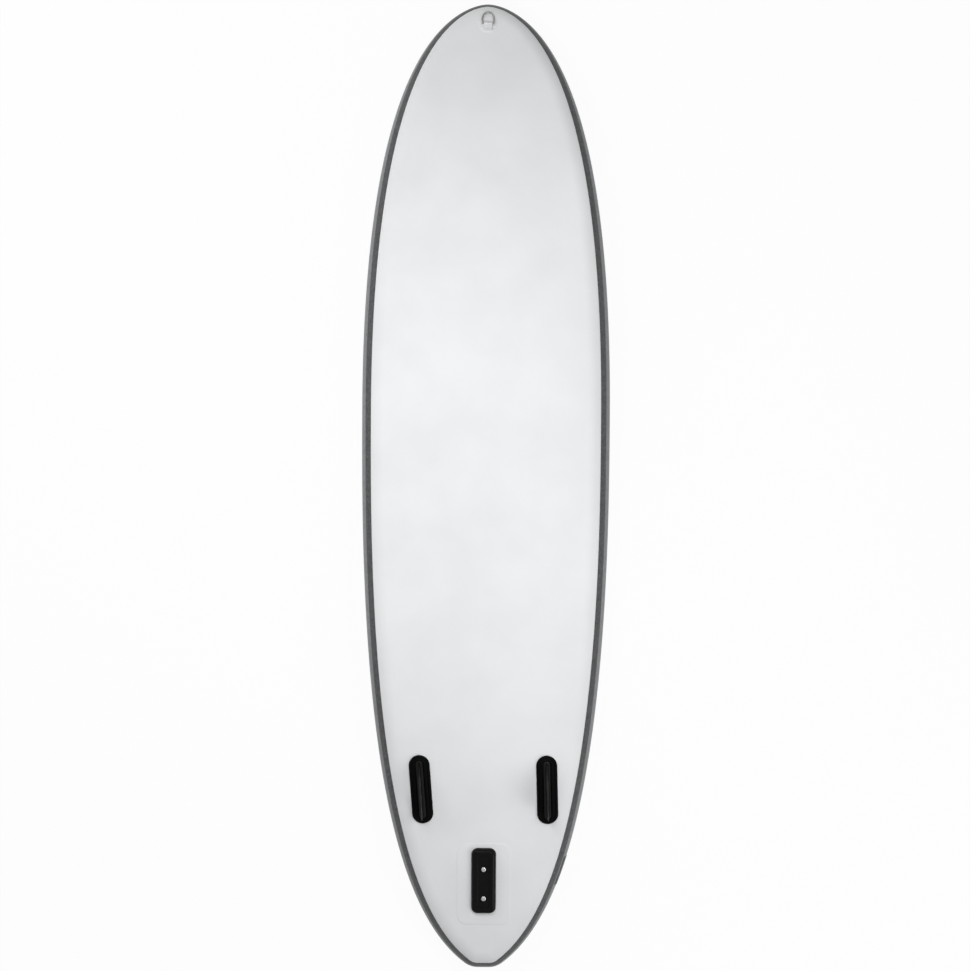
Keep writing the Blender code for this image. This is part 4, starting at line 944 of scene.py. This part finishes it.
# Centre fin box: a moulded box welded in a patch, with a shallow channel and two screws
finBox = {
    "fromTail": 0.313,
    "length": 0.218,
    "width": 0.081,
    "height": 0.018,
    "corner": 0.021,
    "edge": 0.006,
    "bevel": 0.0075,
    "channelLength": 0.176,
    "channelWidth": 0.038,
    "channelDepth": 0.0065,
    "channelCorner": 0.0095,
    "screwSpacing": 0.098,
    "screwsBehind": 0.010,
    "seatDiameter": 0.023,
    "seatDepth": 0.0040,
    "headDiameter": 0.0165,
    "headHeight": 0.0034,
    "slotLength": 0.0102,
    "slotWidth": 0.0018,
    "slotDepth": 0.0014,
    "shank": 0.0030,
    "shankLength": 0.0060,
    "patchLength": 0.276,
    "patchWidth": 0.178,
    "patchCorner": 0.034,
    "patchBehind": 0.012,
    "lift": 0.0019,
    "seatLead": 0.0008,
    "screwGap": 0.0003,
    "headRim": 0.0011,
    "cornerSteps": 10,
}


def makeFinBox():
    spec = finBox
    y = tailEnd + spec["fromTail"]
    place = surfaceFrame(0.0, y, bottomSide, 0.0, spec["lift"])
    top, bevel, edge, around = spec["height"], spec["bevel"], spec["edge"], spec["cornerSteps"]
    # a skirt closes the bent gap under the ends, a soft fillet leads up to the face
    profile = [(0.0, -0.0022), (0.0, edge - 0.0015), (0.0004, edge - 0.0004), (0.0014, edge + 0.0012)]
    profile += fillet(*profile[-1], bevel + 0.0055, top, 12)
    loops = levels(spec["length"], spec["width"], spec["corner"], profile, around)
    floor = top - spec["channelDepth"]
    rim = [(-0.0011, top), (-0.0004, top - 0.0003), (0.0, top - 0.0010), (0.0, floor + 0.0012)]
    rim += [(0.0004, floor + 0.0003), (0.0013, floor)]
    loops += levels(spec["channelLength"], spec["channelWidth"], spec["channelCorner"], rim, around)
    box = newPiece("finBoxShell", loft(loops), blackPlastic, ("fin_box",), sharp=50.0, place=place)
    sizes = (spec["patchLength"], spec["patchWidth"], spec["patchCorner"])
    y -= spec["patchBehind"]
    makePatch("finBoxPatchCloth", *sizes, 0.0, y, bottomSide, whitePvc, "fin_box_patch")
    wide, seatFloor, lead = spec["seatDiameter"] / 2, floor - spec["seatDepth"], spec["seatLead"]
    well = [(wide + lead, floor + 0.004), (wide + lead, floor), (wide, floor - lead), (wide, seatFloor)]
    for end, sign in (("front", 1), ("rear", -1)):
        spot = place @ Matrix.Translation((0.0, sign * spec["screwSpacing"] / 2 - spec["screwsBehind"], 0.0))
        cut(box, turned(well), spot)
        makeScrew(end, spot, seatFloor + spec["screwGap"])


def makeScrew(end, spot, under):
    # shank, then a low dome over a straight edge, then a cross slot
    spec = finBox
    head, shank, rim = spec["headDiameter"] / 2, spec["shank"], spec["headRim"]
    low, top = under - spec["shankLength"], under + spec["headHeight"]
    profile = [(shank - 0.0009, low), (shank, low + 0.0009), (shank, under), (head - 0.0003, under)]
    profile += [(head, under + 0.0003), (head, under + rim)]
    for i in range(1, 9):
        turn = math.pi / 2 * i / 8
        width, rise = 0.16 + 0.84 * math.cos(turn), (top - under - rim) * math.sin(turn)
        profile.append((head * width, under + rim + rise))
    name = "finScrew" + end.title()
    screw = newPiece(name, turned(profile), screwSteel, ("fin_screw_" + end,), sharp=40.0, place=spot)
    sizes = (spec["slotWidth"] / 2, spec["slotLength"] / 2)
    for x, y in (sizes, sizes[::-1]):
        taper = ((0.8, top - spec["slotDepth"]), (1.0, top + spec["slotDepth"]))
        cut(screw, loft([rectangle(-x * k, -y * k, x * k, y * k, height) for k, height in taper]), spot)


makeFinBox()
print("fin box made")


# Deck pad: four foam panels with bevelled edges and cross grooves. They leave room for the handle, so the
# handle's sizes come first.
handle = {
    "ahead": 0.020,
    "width": 0.038,
    "thickness": 0.0026,
    "length": 0.300,
    "tail": 0.046,
    "gripLength": 0.110,
    "gripWidth": 0.046,
    "gripDepth": 0.019,
    "gripRound": 0.0085,
    "ribs": 11,
    "rise": 0.034,
    "patchLength": 0.070,
    "patchWidth": 0.074,
    "patchCorner": 0.015,
    "gap": 0.0003,
}


def padPanel(hand, start, end, left, right, roundStart=False, roundEnd=False):
    spec = deckPad
    thick, bevel, corner, strips = spec["thickness"], spec["bevel"], spec["corner"], spec["strips"]
    spacing, width, depth = spec["groovePitch"], spec["grooveWidth"], spec["grooveDepth"]
    # the height of the face at each row across the panel
    marks = {start: 0.0, start + bevel: thick, end - bevel: thick, end: 0.0}
    grooves = int((end - start - 2 * bevel) / spacing)
    for i in range(grooves):
        centre = (start + end) / 2 + (i - (grooves - 1) / 2) * spacing
        for side in (-1, 1):
            marks[centre + side * width / 2] = thick
            marks[centre + side * (width - depth) / 2] = thick - depth
    for i in range(1, spec["cornerSteps"]):
        curve = corner * (1 - math.cos(math.pi / 2 * i / spec["cornerSteps"]))
        for y, rounded in ((start + curve, roundStart), (end - curve, roundEnd)):
            if rounded and min(abs(y - m) for m in marks) > spec["leastStep"]:
                near = sorted(marks, key=lambda m: abs(m - y))[:2]
                if marks[near[0]] == marks[near[1]]:
                    marks[y] = marks[near[0]]
    low, high = [], []
    mesh = bmesh.new()
    for y in sorted(marks):
        inset = 0.0
        for rounded, edge in ((roundStart, y - start), (roundEnd, end - y)):
            if rounded and edge < corner:
                inset = corner * (1 - math.sqrt(max(0.0, 1 - (1 - edge / corner) ** 2)))
        a, b = left(y) + inset, right(y) - inset
        columns = [a, *(a + bevel + (b - a - 2 * bevel) * k / strips for k in range(strips + 1)), b]
        heights = [0.0, *[marks[y]] * (strips + 1), 0.0]
        face = [laidPoint(x, y, deckSide, spec["lift"] + h) for x, h in zip(columns, heights)]
        high.append([mesh.verts.new(p) for p in face])
        low.append([mesh.verts.new(laidPoint(x, y, deckSide, -seat)) for x in columns])
    for sheet in (low, high):
        for row, nextRow in zip(sheet, sheet[1:]):
            bridge(mesh, row, nextRow, closed=False)
    for i in (0, -1):
        bridge(mesh, low[i], high[i], closed=False)
        bridge(mesh, [row[i] for row in low], [row[i] for row in high], closed=False)
    piece = newPiece("deckPad" + hand.title(), mesh, foam, ("deck_pad_" + hand,), sharp=25.0)


def padRight(y):
    return panelHalfWidth(y) - deckPad["sideMargin"]


def padLeft(y):
    return -padRight(y)


def makeDeckPad():
    spec = deckPad
    rear = tailEnd + spec["fromTail"]
    front = rear + spec["length"]
    halfLength = (handle["length"] - handle["tail"] + handle["patchLength"]) / 2 + spec["notchEnd"]
    halfWidth = handle["patchWidth"] / 2 + spec["notchSide"]
    notchRear, notchFront = handle["ahead"] - halfLength, handle["ahead"] + halfLength
    gap = spec["panelGap"]
    padPanel("rear", rear, notchRear - gap, padLeft, padRight, roundStart=True)
    padPanel("left", notchRear, notchFront, padLeft, lambda y: -halfWidth)
    padPanel("right", notchRear, notchFront, lambda y: halfWidth, padRight)
    padPanel("front", notchFront + gap, front, padLeft, padRight, roundEnd=True)


makeDeckPad()
print("deck pad made")


# Carry handle: webbing in a foam-lined sleeve, each end sewn on a patch
def handlePath():
    spec = handle
    base = patch["thickness"] + 2 * spec["gap"] + spec["thickness"] / 2
    foot, top = spec["length"] / 2, spec["gripLength"] / 2 + spec["thickness"] * 2
    points = [(-foot + spec["tail"] * i / 4, base) for i in range(4)]
    for i in range(25):
        share = i / 24
        y = -foot + spec["tail"] + (foot - spec["tail"] - top) * share
        points.append((y, base + spec["rise"] * (1 - math.cos(math.pi * share)) / 2))
    points += [(-y, h) for y, h in points[::-1]]
    return [Vector((0.0, y, h)) for y, h in points]


def makeHandle():
    spec = handle
    place = surfaceFrame(0.0, spec["ahead"], deckSide)
    strap = strapAlong(handlePath(), spec["width"], spec["thickness"])
    newPiece("handleStrap", strap, blackWebbing, ("handle_webbing",), place=place)
    middle = patch["thickness"] + 2 * spec["gap"] + spec["rise"] + spec["thickness"] / 2
    # sleeve: ribs moulded round it, ends rolled in, and a flat slot for the strap
    half, steps = spec["gripLength"] / 2, spec["ribs"] * 4
    rows = [(-half, 0.0022), (-half + 0.0006, 0.0008), (-half + 0.002, 0.0)]
    for i in range(steps + 1):
        rows.append(((half - 0.010) * (2 * i / steps - 1), (0.0, 0.0008, 0.0011, 0.0008)[i % 4]))
    rows += [(-y, inset) for y, inset in rows[2::-1]]
    outlines = levels(spec["gripDepth"], spec["gripWidth"], spec["gripRound"], [(d, y) for y, d in rows])
    for y in (half - 0.0006, 0.0, -half + 0.0006):
        outlines.append(roundedOutline(spec["thickness"] + 0.0006, spec["width"] + 0.0006, 0.0014, height=y))
    sleeve = loft([[Vector((p.x, p.z, middle + p.y)) for p in outline] for outline in outlines], caps=False)
    grip = newPiece("handleSleeve", sleeve, sleeveFoam, ("handle_grip",), place=place)
    seams = bmesh.new()
    high = patch["thickness"] + 2 * spec["gap"] + spec["thickness"]
    foot, edge = spec["length"] / 2, spec["width"] / 2 - 0.004
    sizes = (spec["patchLength"], spec["patchWidth"], spec["patchCorner"])
    for end, name in ((-1, "rear"), (1, "front")):
        box = rectangle(-edge, end * (foot - 0.004), edge, end * (foot - spec["tail"] + 0.006), high)
        stitchBox(seams, box)
        stitchLine(seams, box[0], box[2])
        stitchLine(seams, box[1], box[3])
        y = spec["ahead"] + end * (foot - spec["tail"] / 2)
        makePatch("handlePatch" + name.title(), *sizes, 0.0, y, deckSide, palePvc, "handle_patch_" + name)
    newPiece("handleStitches", seams, palePvc, place=place)


makeHandle()
print("handle made")


# Inflation valve: flanged body through the deck, spring-loaded stem, cap with a grip bar
valve = {
    "fromTail": 0.480,
    "bore": 0.0160,
    "wall": 0.0050,
    "flangeWidth": 0.0090,
    "flangeHeight": 0.0040,
    "depth": 0.0300,
    "gap": 0.0003,
    "spiderHeight": 0.0035,
    "hub": 0.0060,
    "arm": 0.0040,
    "stem": 0.0028,
    "button": 0.0058,
    "buttonHeight": 0.0040,
    "buttonInset": 0.0100,
    "sealOverlap": 0.0030,
    "disc": 0.0020,
    "seal": 0.0020,
    "springTurns": 5,
    "springWire": 0.0009,
    "springClearance": 0.0013,
    "travel": 0.006,
    "capRim": 0.0035,
    "capShoulder": 0.0050,
    "capFace": 0.0060,
    "capShoulderInset": 0.0040,
    "capFaceInset": 0.0120,
    "plugDepth": 0.0060,
    "plugWall": 0.0018,
    "capSeal": 0.0022,
    "gripLength": 0.044,
    "gripWidth": 0.0080,
    "gripHeight": 0.0060,
    "knurls": 48,
    "knurlDepth": 0.0007,
}


def makeValve(deckCloth):
    spec = valve
    gap, bore = spec["gap"], spec["bore"]
    barrel = bore + spec["wall"]
    flange = barrel + spec["flangeWidth"]
    place = surfaceFrame(0.0, tailEnd + spec["fromTail"], deckSide)
    hole, past = barrel + 2 * gap, 0.02
    cut(deckCloth, turned([(hole, past), (hole, -past)]), place)
    inner = -hull["skin"] - spec["depth"]
    low, top = 2 * gap, 2 * gap + spec["flangeHeight"]
    profile = [(bore, top - 0.0008), (bore + 0.0008, top), (flange - 0.0016, top)]
    profile += [(flange - 0.0006, top - 0.0004), (flange, top - 0.0016), (flange, low)]
    profile += [(barrel, low), (barrel, inner), (bore, inner)]
    newPiece("valveBodyShell", turned(profile, 72, caps=False), blackPlastic, ("valve_body",), place=place)
    # spider: a hub on four arms across the inner end
    hub, hole, across, rise = spec["hub"], spec["stem"] + gap, spec["arm"] / 2, spec["spiderHeight"]
    profile = [(hole, inner), (hub, inner), (hub, inner + rise), (hole, inner + rise)]
    newPiece("valveSpiderHub", turned(profile, 40, caps=False), blackPlastic, place=place)
    for number in range(4):
        turn = Matrix.Rotation(math.radians(90 * number), 4, "Z")
        ends = (hub - 0.0004, -across, bore + spec["wall"] / 2, across)
        arm = loft([rectangle(*ends, inner + height) for height in (0.0002, rise - 0.0002)])
        newPiece("valveSpiderArm" + str(number + 1), arm, blackPlastic, place=place @ turn)
    # stem: the disc that carries the seal, the pin through the spider, and the button
    discTop = inner - gap - spec["seal"] - gap
    discLow = discTop - spec["disc"]
    buttonTop = top - spec["buttonInset"]
    buttonLow = buttonTop - spec["buttonHeight"]
    disc, stem, button = bore + spec["sealOverlap"], spec["stem"], spec["button"]
    profile = [(disc - 0.0004, discLow), (disc, discLow + 0.0004), (disc, discTop)]
    profile += [(stem, discTop), (stem, buttonLow), (button, buttonLow), (button, buttonTop - 0.0008)]
    profile += [(button - 0.0003, buttonTop - 0.0002), (button - 0.001, buttonTop)]
    profile += [(0.0022, buttonTop - 0.0007)]
    pin = turned(profile, 48)
    newPiece("valveStemPin", pin, palePlastic, ("valve_stem",), body="valve_stem", place=place)
    makeSpring(place, inner + rise + gap, buttonLow - gap)
    makeCap(place, top, flange)


def coilAxes(point, run):
    out = Vector((point.x, point.y, 0.0)).normalized()
    return out, run.cross(out)


def makeSpring(place, low, high):
    spec = valve
    wire = spec["springWire"] / 2
    radius = spec["stem"] + spec["springClearance"] + wire
    steps = spec["springTurns"] * 24
    path = []
    for i in range(steps + 1):
        turn = math.tau * spec["springTurns"] * i / steps
        height = low + wire + (high - low - 2 * wire) * i / steps
        path.append(Vector((radius * math.cos(turn), radius * math.sin(turn), height)))
    coil = sweep(path, roundLoop(wire, 0.0, 8), coilAxes)
    spring = newPiece("valveSpringCoil", coil, screwSteel, ("valve_spring",), place=place)
    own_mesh(spring)


def makeCap(place, flangeTop, flange):
    spec = valve
    gap = spec["gap"]
    capLow = flangeTop + spec["capSeal"] + 2 * gap
    rim, face = capLow + spec["capRim"], capLow + spec["capFace"]
    plug, plugLow = spec["bore"] - gap, flangeTop - spec["plugDepth"]
    hollow, faceEdge = plug - spec["plugWall"], flange - spec["capFaceInset"]
    sides = spec["knurls"] * 4
    # down the outside from the middle of the face, then up inside the hollow plug
    profile = [(0.0015, face), (faceEdge - 0.001, face), (faceEdge, face - 0.0002)]
    profile += [(flange - spec["capShoulderInset"], capLow + spec["capShoulder"])]
    profile += [(flange - 0.0008, rim), (flange, rim - 0.0008), (flange, capLow + 0.0004)]
    profile += [(flange - 0.0004, capLow), (plug, capLow), (plug, plugLow + 0.0006)]
    profile += [(plug - 0.0006, plugLow), (hollow, plugLow), (hollow, capLow), (0.0015, capLow)]
    loops = [roundLoop(radius, height, sides) for radius, height in profile]
    for loop, (radius, height) in zip(loops, profile):
        if radius > flange - 0.0009:
            # knurls are pressed into the rim only
            for i in range(sides):
                if i % 4 in (2, 3):
                    loop[i].xy *= (radius - spec["knurlDepth"]) / radius
    shell = loft(loops)
    newPiece("valveCapShell", shell, blackPlastic, ("valve_cap",), body="valve_cap", sharp=30.0, place=place)
    width, top = spec["gripWidth"], face + spec["gripHeight"]
    rows = [(0.0, rim), (0.0, face), (0.0002, top - 0.0018), (0.0008, top - 0.0006), (0.002, top)]
    bar = loft(levels(spec["gripLength"], width, width / 2, rows, 8))
    newPiece("valveCapGrip", bar, blackPlastic, body="valve_cap", place=place)
    wire = spec["capSeal"] / 2
    radius, centre = flange - 2 * spec["capSeal"], flangeTop + gap + wire
    profile = [(radius + p.x, centre + p.y) for p in roundLoop(wire, 0.0, 16)]
    seal = turned(profile, 72, caps=False)
    newPiece("valveCapSealRing", seal, sealRubber, ("valve_cap_seal",), body="valve_cap", place=place)


makeValve(deckCloth)
print("valve made")


# Inner pieces keep their own solids and take the right finish
keptNodes = {
    "valve_gasket": sealRubber,
    "valve_seal": sealRubber,
    "valve_back_nut": blackPlastic,
    "fin_insert_front": brass,
    "fin_insert_rear": brass,
}
keptNodes.update({name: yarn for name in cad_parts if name.startswith("drop_thread")})
for name, material in keptNodes.items():
    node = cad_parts[name]
    node.data.materials.clear()
    node.data.materials.append(material)


# Stage: a white sheet, two soft boxes over the board, three at its sides, and a white surround
stage = {
    "floorSize": 60.0,
    "floorHex": "#F4F4F5",
    "whiteNear": 0.95,
    "whiteFar": 1.0,
    "fadeFrom": 1.6,
    "fadeTo": 4.5,
    "worldFill": 0.28,
    "boxes": {
        "softBoxNose": {"place": (-0.45, 0.40, 2.75), "size": 0.8, "power": 21.6, "aim": (-0.1, 0.6, 0.2)},
        "softBoxTail": {"place": (0.80, -0.45, 2.75), "size": 0.8, "power": 16.0, "aim": (0.1, -0.2, 0.2)},
        "sideBoxLeft": {"place": (-2.7, 0.8, 1.8), "size": 1.6, "power": 11.5, "aim": (-0.3, 0.3, 0.15)},
        "sideBoxNose": {"place": (-2.2, 3.2, 1.9), "size": 1.8, "power": 22.5, "aim": (-0.2, 1.1, 0.15)},
        "sideBoxTail": {"place": (2.2, -2.3, 2.3), "size": 1.6, "power": 22.9, "aim": (0.2, -0.8, 0.10)},
    },
}


def seenDirectly(tree):
    # 1 for what the camera, a mirror or a clear piece shows, 0 for light that falls on the board
    seen = addNode(tree, "LightPath").outputs
    either = {0: seen["Is Camera Ray"], 1: seen["Is Glossy Ray"]}
    shown = addNode(tree, "Math", either, operation="MAXIMUM")
    return addNode(tree, "Math", {0: shown, 1: seen["Is Transmission Ray"]}, operation="MAXIMUM")


def makeStage():
    data = bpy.data.meshes.new("floorSheet")
    half = stage["floorSize"] / 2
    data.from_pydata(rectangle(-half, -half, half, half), [], [(0, 1, 2, 3)])
    floor = bpy.data.objects.new("floorSheet", data)
    bpy.context.scene.collection.objects.link(floor)
    made = bpy.data.materials.new("paperSweepWhite")
    made.use_nodes = True
    tree = made.node_tree
    shader = tree.nodes["Principled BSDF"]
    shader.inputs["Base Color"].default_value = toLinear(stage["floorHex"])
    shader.inputs["Roughness"].default_value = 0.9
    # the sheet keeps the board's shadow near it and fades to plain white further out
    coords = addNode(tree, "TexCoord").outputs["Object"]
    away = addNode(tree, "VectorMath", {0: coords}, operation="LENGTH").outputs["Value"]
    fade = {"Value": away, "From Min": stage["fadeFrom"], "From Max": stage["fadeTo"]}
    fade.update({"To Min": stage["whiteNear"], "To Max": stage["whiteFar"]})
    whiteness = addNode(tree, "MapRange", fade)
    share = addNode(tree, "Math", {0: seenDirectly(tree), 1: whiteness}, operation="MULTIPLY")
    white = addNode(tree, "Emission", {"Color": (1.0, 1.0, 1.0, 1.0), "Strength": 1.0})
    mixed = addNode(tree, "MixShader", {0: share, 1: shader, 2: white})
    tree.links.new(mixed.outputs["Shader"], tree.nodes["Material Output"].inputs["Surface"])
    data.materials.append(made)


def makeLight():
    world = bpy.data.worlds.new("whiteSurround")
    world.use_nodes = True
    bpy.context.scene.world = world
    tree = world.node_tree
    background = tree.nodes["Background"]
    background.inputs["Color"].default_value = (1.0, 1.0, 1.0, 1.0)
    fill = {"Value": seenDirectly(tree), "To Min": stage["worldFill"], "To Max": 1.0}
    tree.links.new(addNode(tree, "MapRange", fill).outputs["Result"], background.inputs["Strength"])
    for name, box in stage["boxes"].items():
        data = bpy.data.lights.new(name, "AREA")
        data.shape = "DISK"
        data.size = box["size"]
        data.energy = box["power"]
        lamp = bpy.data.objects.new(name, data)
        lamp.location = box["place"]
        lamp.rotation_euler = (Vector(box["aim"]) - Vector(box["place"])).to_track_quat("-Z", "Y").to_euler()
        lamp.visible_camera = False
        bpy.context.scene.collection.objects.link(lamp)


makeCamera()
makeStage()
makeLight()
bpy.context.scene.view_settings.view_transform = "Standard"
print("stage made")
